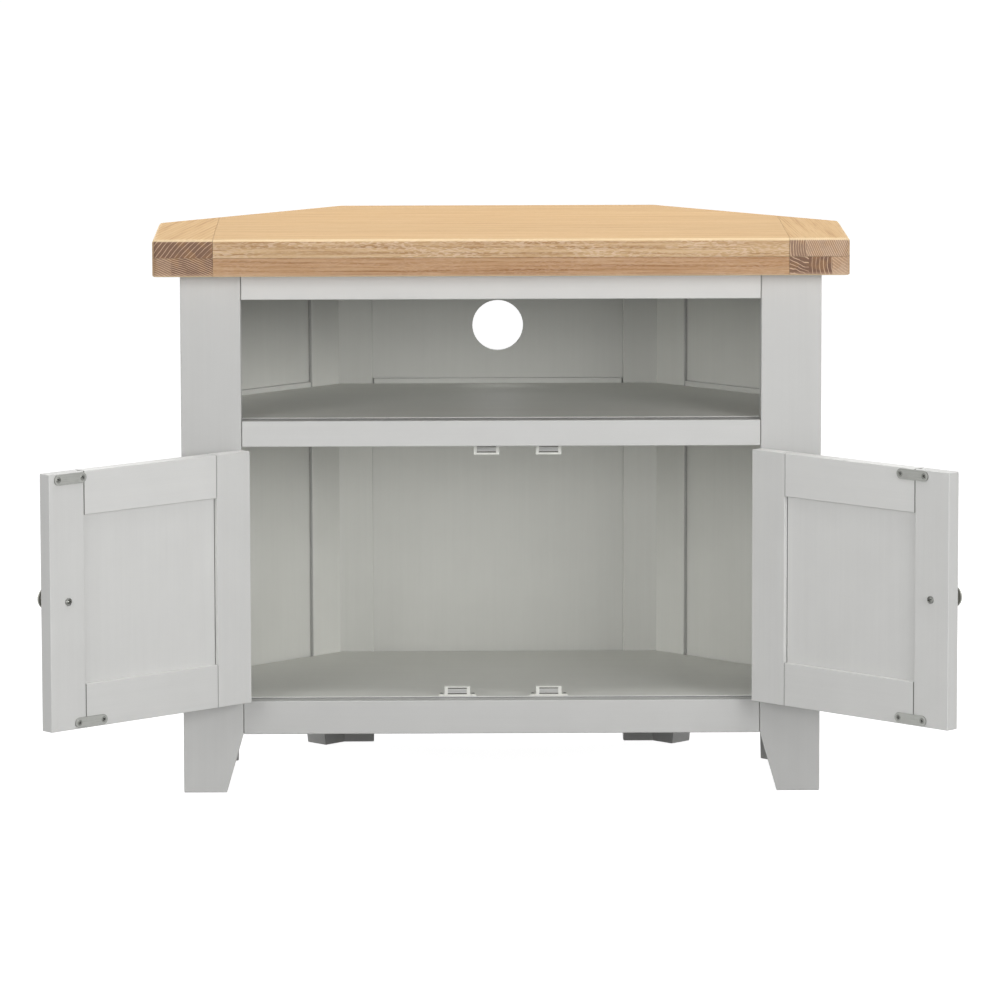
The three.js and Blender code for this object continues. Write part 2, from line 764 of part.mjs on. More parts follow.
// The leaf on the leg of a butt hinge, about its pin at the origin, with the outer knuckles and the pin
function hingeLeg(z) {
  const from = legLeafX;
  const to = legLeafX + hingeLeafThickness;
  const low = z - hingeLength / 2;
  const high = z + hingeLength / 2;
  const knuckleLow = z - knuckleLength / 2 - fit;
  const knuckleHigh = z + knuckleLength / 2 + fit;
  const leaf = join(
    box(from, leafClearOfKnuckle, low, to, leafFar, high),
    box(from, 0, low, to, leafFar, knuckleLow),
    box(from, 0, knuckleHigh, to, leafFar, high),
    bar(knuckleDiameter, 0, 0, low, knuckleLow),
    bar(knuckleDiameter, 0, 0, knuckleHigh, high),
    bar(pinDiameter, 0, 0, low, high),
  );
  return cut(leaf, ...leafHoles(from, to, z));
}

// The leaf on the door's edge, with the middle knuckle bored for the pin
function hingeDoor(z) {
  const from = doorLeafX;
  const to = doorLeafX + hingeLeafThickness;
  const low = z - knuckleLength / 2;
  const high = z + knuckleLength / 2;
  const leaf = join(
    box(from, leafClearOfKnuckle, z - hingeLength / 2, to, leafFar, z + hingeLength / 2),
    box(from, 0, low, to, leafFar, high),
    bar(knuckleDiameter, 0, 0, low, high),
  );
  const pinHole = bar(pinDiameter + 2 * fit, 0, 0, low - overrun, high + overrun);
  return cut(leaf, pinHole, ...leafHoles(from, to, z));
}

// A door in the frame of its own pin, made as the left one and mirrored for the right one
function addDoor(door, side) {
  const turned = side === 'right' ? mirrored : (geometry) => geometry;
  const lockStile = stileGeometry(doorFree, doorFree - doorMemberWidth);
  const pieces = {
    stile_hinge: [stileGeometry(doorEdge, doorEdge + doorMemberWidth), paint],
    stile_lock: [cut(lockStile, knobScrewHole()), paint],
    rail_upper: [doorRailGeometry(doorTop, doorTop - doorMemberWidth), paint],
    rail_lower: [doorRailGeometry(doorBottom, doorBottom + doorMemberWidth), paint],
    panel: [doorPanelGeometry(), paint],
    knob: [knobGeometry(), nickel],
    knob_screw: [knobScrewGeometry(), steel],
    strike_upper: [strikeGeometry(strikePlaces[`upper_${side}`], doorTop - strikeFromDoorEnd), steel],
    strike_lower: [strikeGeometry(strikePlaces[`lower_${side}`], doorBottom + strikeFromDoorEnd), steel],
    hinge_leaf_upper: [hingeDoor(doorTop - hingeFromDoorEnd), hingeSteel],
    hinge_leaf_lower: [hingeDoor(doorBottom + hingeFromDoorEnd), hingeSteel],
  };
  for (const [piece, [geometry, finish]] of Object.entries(pieces)) {
    add(door, `door_${side}_${piece}`, turned(indexed(geometry)), finish);
  }
}

// The same geometry with shared corners, so that mirroring can turn its triangles round
function indexed(geometry) {
  if (geometry.index) return geometry;
  geometry.deleteAttribute('normal');
  geometry.deleteAttribute('uv');
  return mergeVertices(geometry);
}

function hangDoors() {
  addDoor(leftDoor, 'left');
  addDoor(rightDoor, 'right');
  leftDoor.position.set(-pinX, -pinStandOff, 0);
  leftDoor.rotation.z = THREE.MathUtils.degToRad(-leftDoorOpen);
  rightDoor.position.set(pinX, -pinStandOff, 0);
  rightDoor.rotation.z = THREE.MathUtils.degToRad(rightDoorOpen);
  cabinet.add(leftDoor, rightDoor);
  const heights = { upper: doorTop - hingeFromDoorEnd, lower: doorBottom + hingeFromDoorEnd };
  for (const [name, z] of Object.entries(heights)) {
    const left = hingeLeg(z).translate(-pinX, -pinStandOff, 0);
    add(cabinet, `hinge_leg_${name}_left`, left, hingeSteel);
    add(cabinet, `hinge_leg_${name}_right`, mirrored(left), hingeSteel);
  }
}

// A magnetic catch: a body between two bored screw flanges, with two slots beside its magnet. It stands
// on the bottom board, or hangs upside down under the shelf rail and is then a little taller.
function catchGeometry(x, seat, hanging) {
  const body = catchBodyWidth / 2;
  const flange = catchFlangeWidth / 2;
  const height = hanging ? hangingCatchHeight : catchHeight;
  const outline = [
    point(-flange, 0),
    point(flange, 0),
    point(flange, catchFlangeHeight),
    point(body, catchFlangeHeight),
    point(body, height),
    point(-body, height),
    point(-body, catchFlangeHeight),
    point(-flange, catchFlangeHeight),
  ];
  const block = easedPrism(outline, 0, catchDepth, catchArris);
  const slots = [0, 1].map((row) => {
    const low = catchSlotLift + row * catchSlotSpacing;
    const half = catchSlotWidth / 2;
    return box(-half, low, catchDepth - catchSlotDepth, half, low + catchSlotHeight, catchDepth + overrun);
  });
  const holes = [-1, 1].map((side) => {
    const radius = catchHoleDiameter / 2;
    const hole = new THREE.CylinderGeometry(radius, radius, 2 * height, holeSegments);
    return hole.translate((side * (body + flange)) / 2, 0, catchDepth / 2);
  });
  const geometry = cut(block, ...slots, ...holes).rotateX(Math.PI / 2);
  if (hanging) geometry.rotateY(Math.PI);
  const front = railDepth + catchSetBack;
  return geometry.translate(x, front + catchDepth, seat);
}

function addCatches() {
  for (const [place, x] of Object.entries(catchPlaces)) {
    const hanging = place.startsWith('upper');
    const seat = hanging ? cupboardTop : bottomBoardTop;
    add(cabinet, `catch_${place}`, catchGeometry(x, seat, hanging), palePlastic);
  }
}

addTop();
addLegs();
addPosts();
addSideBoards();
addPanels();
addFrontRails();
addBoard('board_bottom', bottomBoardTop);
addBoard('board_shelf', shelfTop);
hangDoors();
addCatches();

// The origin lies on the floor under the middle of the whole, doors open as they stand
cabinet.updateMatrixWorld(true);
const reach = new THREE.Box3().setFromObject(cabinet, true);
cabinet.position.set(-(reach.min.x + reach.max.x) / 2, -(reach.min.y + reach.max.y) / 2, 0);
cabinet.updateMatrixWorld(true);

export default cabinet;
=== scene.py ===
import json
import math
from functools import partial
from typing import NamedTuple

import bmesh
import bpy
import numpy as np
from bpy.props import FloatProperty, FloatVectorProperty, PointerProperty
from bpy.types import Operator, Panel, PropertyGroup
from mathutils import Matrix, Vector


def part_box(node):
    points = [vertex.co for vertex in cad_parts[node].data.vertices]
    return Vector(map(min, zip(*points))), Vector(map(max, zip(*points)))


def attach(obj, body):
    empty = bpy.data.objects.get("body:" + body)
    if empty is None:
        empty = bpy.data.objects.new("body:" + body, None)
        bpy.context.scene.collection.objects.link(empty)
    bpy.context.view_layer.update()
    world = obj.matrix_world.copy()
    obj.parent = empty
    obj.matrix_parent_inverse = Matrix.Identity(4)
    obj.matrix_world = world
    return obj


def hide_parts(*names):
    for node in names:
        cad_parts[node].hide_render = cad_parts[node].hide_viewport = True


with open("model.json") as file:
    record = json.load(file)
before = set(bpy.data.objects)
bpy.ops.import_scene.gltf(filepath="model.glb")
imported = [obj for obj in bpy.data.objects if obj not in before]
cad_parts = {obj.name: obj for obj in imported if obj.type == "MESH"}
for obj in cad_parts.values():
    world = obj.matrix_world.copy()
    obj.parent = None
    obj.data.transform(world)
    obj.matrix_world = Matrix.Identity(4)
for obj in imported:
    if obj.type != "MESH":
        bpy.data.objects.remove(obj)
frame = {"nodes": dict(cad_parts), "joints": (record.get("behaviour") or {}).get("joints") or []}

bl_info = {
    "name": "Corner TV cabinet",
    "version": (1, 0, 0),
    "blender": (4, 5, 0),
    "location": "3D View > Sidebar > Cabinet",
    "description": "Finishes, knobs, screws and magnets of a painted corner cabinet with an oak top",
    "category": "Object",
}

MM = 0.001
SIDES = ("left", "right")
FRONT, TOP = (0, -1, 0), (0, 0, 1)
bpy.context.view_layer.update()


def linear(code):
    """An sRGB colour written as hex, turned linear."""
    channels = np.array([int(code[i : i + 2], 16) for i in (1, 3, 5)]) / 255
    low = channels / 12.92
    high = ((channels + 0.055) / 1.055) ** 2.4
    return tuple(float(v) for v in np.where(channels <= 0.04045, low, high))


def colour_setting(name, description, code):
    return FloatVectorProperty(
        name=name, description=description, subtype="COLOR", size=3, min=0, max=1, default=linear(code)
    )


def length_setting(name, description, millimetres):
    return FloatProperty(
        name=name, description=description, unit="LENGTH", subtype="DISTANCE", min=0, default=millimetres * MM
    )


def share_setting(name, description, share):
    return FloatProperty(name=name, description=description, subtype="FACTOR", min=0, max=1, default=share)


def power_setting(name, description, watts):
    return FloatProperty(name=name, description=description, unit="POWER", min=0, default=watts)


def angle_setting(name, description, radians):
    return FloatProperty(name=name, description=description, subtype="ANGLE", default=radians)


class CabinetPaint(PropertyGroup):
    """The grey paint of the carcass and the doors."""

    colour: colour_setting("Paint", "Satin furniture paint", "#D7D7D5")
    shade: colour_setting("Paint, thin", "Where the film is thin over the grain", "#D4D4D2")
    # Rubbed paler along the arrises, with a painted highlight there as well
    worn_and_highlit: colour_setting("Worn edges", "Paint rubbed paler along the arrises", "#E2E2E0")
    # A dark line at each joint: the film sunk into the gap, with painted shade there
    crease: colour_setting("Joints", "Where the film sinks into a joint", "#7C7C78")
    joint_shade_width: length_setting("Joint width", "How far a joint's dark line reaches to each side", 1.2)
    # Also the width of the painted highlight along the arrises, and the radius of their rounding
    arris_width: length_setting("Wear width", "How far the rubbing reaches in from an arris", 1.1)
    grain_depth: length_setting("Grain depth", "How much of the grain shows through the film", 0.02)
    sheen_roughness: share_setting("Roughness", "Satin, between gloss and matt", 0.5)


class CabinetOak(PropertyGroup):
    """The oiled oak of the top."""

    pale: colour_setting("Pale grain", "Summer wood between the rings", "#CFB28E")
    honey: colour_setting("Grain", "The oak's middle tone", "#C4A27B")
    brown: colour_setting("Dark grain", "Open pored spring wood", "#A47D57")
    fleck: colour_setting("Ray flecks", "Silvery rays where the cut runs along them", "#DCC2AA")
    # Sanded paler over the rounds, and a painted highlight there as well
    crest_highlight: colour_setting("Rounded edges", "Oak sanded paler over the round of an edge", "#E9D2AA")
    end_brown: colour_setting("End grain", "End grain, which drinks the oil", "#6E5042")
    end_pale: colour_setting("End rings", "Dense rings and rays in the end grain", "#D3B599")
    sealer: colour_setting("Underside", "Grey sealer under the top", "#7E8078")
    roughness: share_setting("Roughness", "Hard wax oil, nearly matt", 0.6)
    sheen: share_setting("Sheen", "How much light the oiled face throws back", 0.12)


class CabinetFittings(PropertyGroup):
    """Knobs, screws, plates and catches."""

    knob_metal: colour_setting("Knob", "Satin pewter-toned nickel", "#9A9A93")
    steel: colour_setting("Steel", "Zinc plated steel", "#A0A19D")
    # Darker than the plates' steel: painted shade standing in for the dark surroundings a screw head reflects
    screw_steel: colour_setting("Screws", "Steel dulled by oil", "#868783")
    # Real pole plates, coloured dark as painted shade for the slots of the catches
    shaded_pole_steel: colour_setting("Pole plates", "Blackened steel beside the magnets", "#5E5E5A")
    plastic: colour_setting("Plastic", "Pale moulded housing of the catches", "#DEDED8")
    magnet: colour_setting("Magnet", "Sintered ferrite between its pole plates", "#BCBCBA")
    knob_screw_head: length_setting("Knob screw head", "Width of the pan head", 8.8)
    plate_screw_head: length_setting("Plate screw head", "Width of a strike plate's screw heads", 7.0)
    hinge_screw_head: length_setting("Hinge screw head", "Width of a hinge screw's head", 5.6)
    catch_screw_head: length_setting("Catch screw head", "Width of a catch screw's head", 4.6)


class CabinetStage(PropertyGroup):
    """Camera, lamps, floor and backdrop."""

    camera_place: FloatVectorProperty(
        name="Camera", description="Where the camera stands", subtype="TRANSLATION", unit="LENGTH", size=3,
        default=(-0.08208, -7.62438, 1.39846),
    )
    camera_yaw: angle_setting("Yaw", "Turn to the right", 0.0112)
    camera_pitch: angle_setting("Pitch", "Look down", 0.139)
    camera_roll: angle_setting("Roll", "Tilt of the picture", -0.002)
    camera_lens: FloatProperty(name="Lens", description="Focal length", unit="CAMERA", default=237.28)
    key_power: power_setting("Key lamp", "Soft lamp, front right", 39.5)
    fill_power: power_setting("Fill lamp", "Soft lamp, front left", 24.2)
    side_power: power_setting("Side lamp", "Soft lamp, far left", 7)
    front_power: power_setting("Front lamp", "Large soft lamp behind the camera", 134)
    top_power: power_setting("Top lamp", "Soft lamp overhead", 37)
    back_power: power_setting("Back lamp", "Soft lamp above and behind, for the top", 9.5)
    rim_power: power_setting("Rim lamps", "Two lamps behind, for the knobs and the outer faces", 22)
    sky_strength: share_setting("Room light", "Even light from all round", 0.12)


# Settings of a colour mix: one colour laid over another, and one multiplied by another
OVER = {"data_type": "RGBA"}
TIMES = {"data_type": "RGBA", "blend_type": "MULTIPLY"}


def rgba(tone):
    """A grey share or a colour as the four numbers of a colour socket."""
    return (*np.broadcast_to(tone, 3).tolist(), 1)


def add_node(tree, kind, inputs=(), out=None, stops=(), **settings):
    """Adds a node with its settings and gives back one output, by name or the first. Each input is a socket
    to join or a value, by name or in the order of the inputs that the settings leave open, and None leaves it
    as it is. A colour ramp also has stops, each a place and a tone."""
    node = tree.nodes.new(f"ShaderNode{kind}")
    for name, value in settings.items():
        setattr(node, name, value)
    live = [socket for socket in node.inputs if socket.enabled]
    pairs = inputs.items() if isinstance(inputs, dict) else enumerate(inputs)
    for name, value in pairs:
        socket = node.inputs[name] if isinstance(name, str) else live[name]
        if isinstance(value, bpy.types.NodeSocket):
            tree.links.new(value, socket)
        elif value is not None:
            socket.default_value = rgba(value) if socket.type == "RGBA" else value
    if stops:
        elements = node.color_ramp.elements
        while len(elements) < len(stops):
            elements.new(1)
        for element, (place, tone) in zip(elements, stops):
            element.position = place
            element.color = rgba(tone)
    return node.outputs[out] if out else next((socket for socket in node.outputs if socket.enabled), None)


def emptied(owner):
    """Clears the node tree of a material or world, and gives back the function that adds a node to it."""
    owner.use_nodes = True
    owner.node_tree.nodes.clear()
    return partial(add_node, owner.node_tree)


def new_material(name, turn=0):
    """An empty material, the function that adds a node to it, and the place on the piece in millimetres,
    turned about the vertical so that X runs along a member."""
    material = bpy.data.materials.new(name)
    add = emptied(material)
    mapped = {"Vector": add("TexCoord", out="Object"), "Scale": (1 / MM,) * 3, "Rotation": (0, 0, -turn)}
    return material, add, add("Mapping", mapped)


def coat(add, colour, roughness, height, depth, normal=None, values=()):
    """Ends a material: its colour, its roughness, and bumps from 0 to 1 that stand for a depth in metres."""
    bump = add("Bump", {"Height": height, "Distance": depth, "Strength": 1, "Normal": normal})
    inputs = {"Base Color": colour, "Roughness": roughness, "Normal": bump, **dict(values)}
    add("OutputMaterial", [add("BsdfPrincipled", inputs)])


def clouding(add, place, size, detail=2):
    """A cloudy pattern from 0 to 1 whose blots measure size, in millimetres all round or along X, Y and Z."""
    scaled = add("Mapping", {"Vector": place, "Scale": (1 / np.broadcast_to(size, 3)).tolist()})
    return add("TexNoise", {"Vector": scaled, "Scale": 1, "Detail": detail})


def soft_arris(add, width):
    """The normal rounded over near an arris, and how near the arris is, from 0 on the flat to 1."""
    rounded = add("Bevel", {"Radius": width}, samples=4)
    flat = add("NewGeometry", out="True Normal")
    # The cosine of the lean between the two: 10 degrees where nearness starts, 37 where it is whole
    lean = add("VectorMath", [rounded, flat], operation="DOT_PRODUCT")
    return rounded, add("MapRange", {"Value": lean, "From Min": 0.985, "From Max": 0.8})


RECESS = "recess"
# Shares of light by height are read on a scale from the floor to this many millimetres
SCALE_TOP = 650


def shaded(shares):
    """A share of light, or shares by height, where little light reaches and the grey leans to green."""
    if isinstance(shares, dict):
        return {height: shaded(share) for height, share in shares.items()}
    return shares, 1.004 * shares, 0.965 * shares


def painted_wood(settings, name, turn=0, upright=False, creases=(), tone=1.0, faces=()):
    """Sprayed satin furniture paint over tulipwood and board. The film is even, so what shows is a faint
    trace of the grain along the member, a slight cloudiness, edges rubbed paler, and a dark crease at each
    joint, given as its place in millimetres once the member is turned along X. tone is how pale this batch of
    the paint is. faces lists the ways that duller or paler faces look, each with the share of light left or
    with shares by height in millimetres."""
    material, add, place = new_material(name, turn)
    along, height = (add("SeparateXYZ", [place], axis) for axis in "XZ")
    fine, fine_run, broad, broad_run = 1.8, 90, 9, 260
    grain = clouding(add, place, (fine, fine, fine_run) if upright else (fine_run, fine, fine), 3)
    streaks = clouding(add, place, (broad, broad, broad_run) if upright else (broad_run, broad, broad))
    clouds = clouding(add, place, 55, 3)
    # The sprayed film's orange peel measures about a millimetre
    peel = clouding(add, place, 1.3, 1)
    rounded, near = soft_arris(add, settings.arris_width)
    film = add("ValToRGB", [add("Mix", [0.45, streaks, grain])], stops=[(0.3, 0), (0.7, 1)])
    colour = add("Mix", [film, settings.shade, settings.colour], **OVER)
    # tone darkens the whole member: painted shade
    cloudy = add("ValToRGB", [clouds], stops=[(0.3, 0.97 * tone), (0.7, tone)])
    colour = add("Mix", [1, colour, cloudy], **TIMES)
    # Arrises rubbed paler, which also paints a highlight along them
    patchy = add("ValToRGB", [clouds], stops=[(0.35, 0.55), (0.65, 0.95)])
    rub_and_highlight = add("Math", [near, patchy], operation="MULTIPLY")
    colour = add("Mix", [rub_and_highlight, colour, settings.worn_and_highlit], **OVER)
    # Painted light and shade, on faces looking each given way
    rise = add("Math", [height, SCALE_TOP], operation="DIVIDE")
    for way, shares in faces:
        shares = shares if isinstance(shares, dict) else {0: shares, SCALE_TOP: shares}
        facing = add("VectorMath", [add("TexCoord", out="Normal"), tuple(way)], operation="DOT_PRODUCT")
        facing = add("ValToRGB", [facing], stops=[(0.8, 0), (0.95, 1)])
        light = add("ValToRGB", [rise], stops=[(level / SCALE_TOP, share) for level, share in shares.items()])
        colour = add("Mix", [facing, colour, light], **TIMES)
    # A dark line at each joint: painted shade in the gap, where the film also sinks
    reach, blur = settings.joint_shade_width / MM, 0.1
    for middle in creases:
        away = add("Math", [add("Math", [along, middle], operation="SUBTRACT")], operation="ABSOLUTE")
        fade = {"From Min": reach - blur, "From Max": reach + blur, "To Min": 1, "To Max": 0}
        colour = add("Mix", [add("MapRange", {"Value": away, **fade}), colour, settings.crease], **OVER)
    spread = add("Math", [clouds, 0.12, settings.sheen_roughness - 0.06], operation="MULTIPLY_ADD")
    coat(add, colour, spread, add("Mix", [0.25, grain, peel]), settings.grain_depth, rounded)
    return material


class Stave(NamedTuple):
    """End grain of one stave: the heart of its rings across the board and up, the rings' spacing and how far
    they waver, in millimetres, the share of pale line, and how far the dark part is lifted to the pale."""

    heart_across: float
    heart_up: float
    ring: float
    waver: float
    pale_share: float = 0.3
    lift: float = 0.0


def per_stave(add, across, joints, values):
    """A number that steps from each stave's value to the next one's where the place across passes a joint."""
    number = values[0]
    for joint, before, after in zip(joints, values, values[1:]):
        if before != after:
            beyond = add("Math", [across, joint], operation="GREATER_THAN")
            number = add("Math", [beyond, after - before, number], operation="MULTIPLY_ADD")
    return number


def oak(
    settings, name, along, staves, joints=(), *, tint=1, skew=0.0, flecks=0.0, seed=0, underside=None,
    sealed=False,
):
    """Oak under hard wax oil, as a solid pattern: rings round a heart that may lie outside the board,
    stretched along the grain, with short dark pores, silvery ray flecks, end grain that the oil darkens, and
    a top that daylight has yellowed. along is X or Y, joints are where the staves meet, skew turns the grain
    a little. Just above the underside the sides are rubbed paler, and a sealed underside is grey."""
    material, add, place = new_material(name)
    x, y, z = (add("SeparateXYZ", [place], axis) for axis in "XYZ")
    length, across = (x, y) if along == "X" else (y, x)
    across = add("Math", [length, skew, across], operation="MULTIPLY_ADD")
    number = per_stave(add, across, joints, [seed + k for k in range(len(joints) + 1)])
    random = add("TexWhiteNoise", {"W": number}, noise_dimensions="1D")
    # Each stave is cut from its own place in the pattern, up to this many millimetres away
    furthest = 400
    shift = add("Math", [random, furthest], operation="MULTIPLY")
    moved = [add("Math", [part, shift], operation="ADD") for part in (length, across)]
    board = add("CombineXYZ", [*moved, z])
    normal = add("TexCoord", out="Normal")
    upwards = add("SeparateXYZ", [normal], "Z")
    lengthwise = add("Math", [add("SeparateXYZ", [normal], along)], operation="ABSOLUTE")
    level = add("Math", [upwards], operation="ABSOLUTE")
    upright = add("ValToRGB", [level], stops=[(0.7, 1), (1, 0.2)])

    stave = Stave(*(per_stave(add, across, joints, values) for values in zip(*staves)))
    bend = add("Math", [clouding(add, board, (260, 26, 26), 3), 0.5], operation="SUBTRACT")
    sideways = add("Math", [across, stave.heart_across], operation="SUBTRACT")
    above = add("Math", [z, stave.heart_up], operation="SUBTRACT")
    radius = add("VectorMath", [add("CombineXYZ", [sideways, above])], operation="LENGTH")
    radius = add("Math", [bend, stave.waver, radius], operation="MULTIPLY_ADD")
    rings = add("Math", [add("Math", [radius, stave.ring], operation="DIVIDE"), 0.5], operation="PINGPONG")
    rings = add("Math", [rings, 2], operation="MULTIPLY")

    fibres = clouding(add, board, (55, 1.4, 1.4), 3)
    bands = clouding(add, board, (420, 9, 9))
    # A pore is 0.3 mm wide, and is drawn 0.7 mm wide so that it shows
    pores = clouding(add, board, (14, 0.7, 0.7), 1)
    sheaf = clouding(add, board, (90, 16, 16))
    curl = clouding(add, board, (26, 15, 15), 1)
    curly = add("VectorMath", [curl, (0, 7, 7), board], operation="MULTIPLY_ADD")
    ray = clouding(add, curly, (6.5, 1.7, 1.1), 1)
    fibre_share, band_share, ring_share = 0.5, 0.36, 0.14
    grain = add("Mix", [fibre_share / (fibre_share + band_share), bands, fibres])
    grain = add("Mix", [ring_share, grain, rings])
    calmer = add("Mix", [0.55, 0.5, grain])
    grain = add("Mix", [upright, calmer, grain])
    grain_tones = [(0.35, settings.brown), (0.5, settings.honey), (0.65, settings.pale)]
    long_tone = add("ValToRGB", [grain], stops=grain_tones)
    open_pores = add("ValToRGB", [pores], stops=[(0.3, 0.74), (0.42, 1)])
    pored = add("Math", [upright, 0.55], operation="MULTIPLY")
    long_tone = add("Mix", [pored, long_tone, open_pores], **TIMES)
    silver = add("ValToRGB", [ray], stops=[(0.47, 0), (0.56, 1)])
    bunched = add("ValToRGB", [sheaf], stops=[(0.38, 0.35), (0.56, 1)])
    for more in (bunched, upright, flecks):
        silver = add("Math", [silver, more], operation="MULTIPLY")
    long_tone = add("Mix", [silver, long_tone, settings.fleck], **OVER)
    stave_tone = add("ValToRGB", [random], stops=[(0, 0.96), (1, 1)])
    # Level faces are turned yellow by the sun and darkened a little, as painted shade on the top
    level_faces = add("ValToRGB", [level], stops=[(0.97, 0), (1, 1)])
    yellowed_and_shaded = add("Mix", [level_faces, 1, (0.95, 0.93, 0.83)], **OVER)
    for tone in (stave_tone, tint, yellowed_and_shaded):
        long_tone = add("Mix", [1, long_tone, tone], **TIMES)

    speckle = clouding(add, board, (30, 1, 1))
    line = add("Math", [rings, 0.12], operation="SUBTRACT")
    line = add("Math", [stave.pale_share, line], operation="SUBTRACT")
    line = add("Math", [speckle, -0.24, line], operation="MULTIPLY_ADD")
    line = add("Math", [line, 6, 0.5], operation="MULTIPLY_ADD", use_clamp=True)
    broken = add("ValToRGB", [sheaf], stops=[(0.36, 0.5), (0.52, 1)])
    line = add("Math", [line, broken], operation="MULTIPLY")
    end_tone = add("Mix", [stave.lift, settings.end_brown, settings.end_pale], **OVER)
    streaky = add("ValToRGB", [curl], stops=[(0.5, 0), (0.62, 0.45)])
    end_tone = add("Mix", [streaky, end_tone, settings.brown], **OVER)
    end_tone = add("Mix", [line, end_tone, settings.end_pale], **OVER)
    speckled = add("ValToRGB", [speckle], stops=[(0.3, 0.86), (0.65, 1.06)])
    end_tone = add("Mix", [1, end_tone, speckled], **TIMES)
    is_end = add("MapRange", {"Value": lengthwise, "From Min": 0.45, "From Max": 0.8})
    colour = add("Mix", [is_end, long_tone, end_tone], **OVER)

    # Painted highlight along the lower arris, within 4.5 mm of the underside
    if underside is not None:
        fade = {"From Min": underside, "From Max": underside + 4.5, "To Min": 0.6, "To Max": 0}
        colour = add("Mix", [add("MapRange", {"Value": z, **fade}), colour, settings.end_pale], **OVER)
    if sealed:
        below = add("Math", [upwards, -0.9], operation="LESS_THAN")
        colour = add("Mix", [below, colour, settings.sealer], **OVER)
    rounded, _ = soft_arris(add, 1.2 * MM)
    # Faces leaning between level and upright, on the rounds of the edges, are paler: sanding, and a painted
    # highlight
    round_over_highlight = add("ValToRGB", [level], stops=[(0.2, 0), (0.6, 0.75), (0.92, 0.6), (0.99, 0)])
    colour = add("Mix", [round_over_highlight, colour, settings.crest_highlight], **OVER)
    spread = add("Math", [fibres, 0.16, settings.roughness - 0.08], operation="MULTIPLY_ADD")
    relief = add("Mix", [0.6, fibres, pores])
    coat(add, colour, spread, relief, 0.05 * MM, rounded, {"Specular IOR Level": settings.sheen})
    return material


def metal(name, colour, roughness, turn=0, brushed=(14, 0.5, 0.5), contrast=0.2, driven=False):
    """A satin metal: fine brushing along its length, cloudy plating, and edges rubbed brighter. A driven
    screw also has a recess that keeps dark oil, read from the mesh's recess attribute."""
    material, add, place = new_material(name, turn)
    lines = clouding(add, place, brushed)
    clouds = clouding(add, place, 6, 3)
    rounded, near = soft_arris(add, 0.3 * MM)
    shade = add("ValToRGB", [add("Mix", [0.6, clouds, lines])], stops=[(0.3, 1 - contrast), (0.7, 1)])
    tone = add("Mix", [1, colour, shade], **TIMES)
    bright = tuple(min(1.0, 1.35 * channel) for channel in colour)
    tone = add("Mix", [add("Math", [near, 0.4], operation="MULTIPLY"), tone, bright], **OVER)
    if driven:
        # Painted shade in a screw's recess, from the mesh's recess attribute
        recess_shade = add("Attribute", out="Fac", attribute_name=RECESS)
        tone = add("Mix", [recess_shade, tone, linear("#3A3A37")], **OVER)
    spread = add("Math", [clouds, 0.2, roughness - 0.1], operation="MULTIPLY_ADD")
    coat(add, tone, spread, lines, 0.015 * MM, rounded, {"Metallic": 1})
    return material


def moulded_plastic(settings):
    """Pale ABS from a spark-eroded mould: a fine matt texture, slightly uneven colour, soft edges."""
    material, add, place = new_material("moulded_plastic")
    texture = clouding(add, place, 0.6)
    uneven = add("ValToRGB", [clouding(add, place, 7)], stops=[(0.3, 0.93), (0.7, 1)])
    rounded, near = soft_arris(add, 0.4 * MM)
    colour = add("Mix", [1, settings.plastic, uneven], **TIMES)
    soft = add("Math", [near, 0.3], operation="MULTIPLY")
    colour = add("Mix", [soft, colour, linear("#F2F2EE")], **OVER)
    spread = add("Math", [texture, 0.2, 0.4], operation="MULTIPLY_ADD")
    coat(add, colour, spread, texture, 0.02 * MM, rounded)
    return material


def ferrite(settings):
    """Sintered ferrite between steel pole plates: grey, gritty, ground lengthwise, with a dull sheen."""
    material, add, place = new_material("ferrite_magnet")
    grit = clouding(add, place, 0.5, 3)
    gritty = add("ValToRGB", [grit], stops=[(0.3, 0.8), (0.7, 1)])
    ground = add("ValToRGB", [clouding(add, place, (20, 0.6, 0.6), 1)], stops=[(0.3, 0.7), (0.7, 1)])
    colour = add("Mix", [1, settings.magnet, gritty], **TIMES)
    colour = add("Mix", [0.3, colour, ground], **TIMES)
    spread = add("Math", [grit, 0.2, 0.4], operation="MULTIPLY_ADD")
    coat(add, colour, spread, grit, 0.02 * MM)
    return material


def finish_node(material, *names):
    """Gives carried-over CAD nodes a material, on each of their slots."""
    for name in names:
        for slot in frame["nodes"][name].material_slots:
            slot.material = material


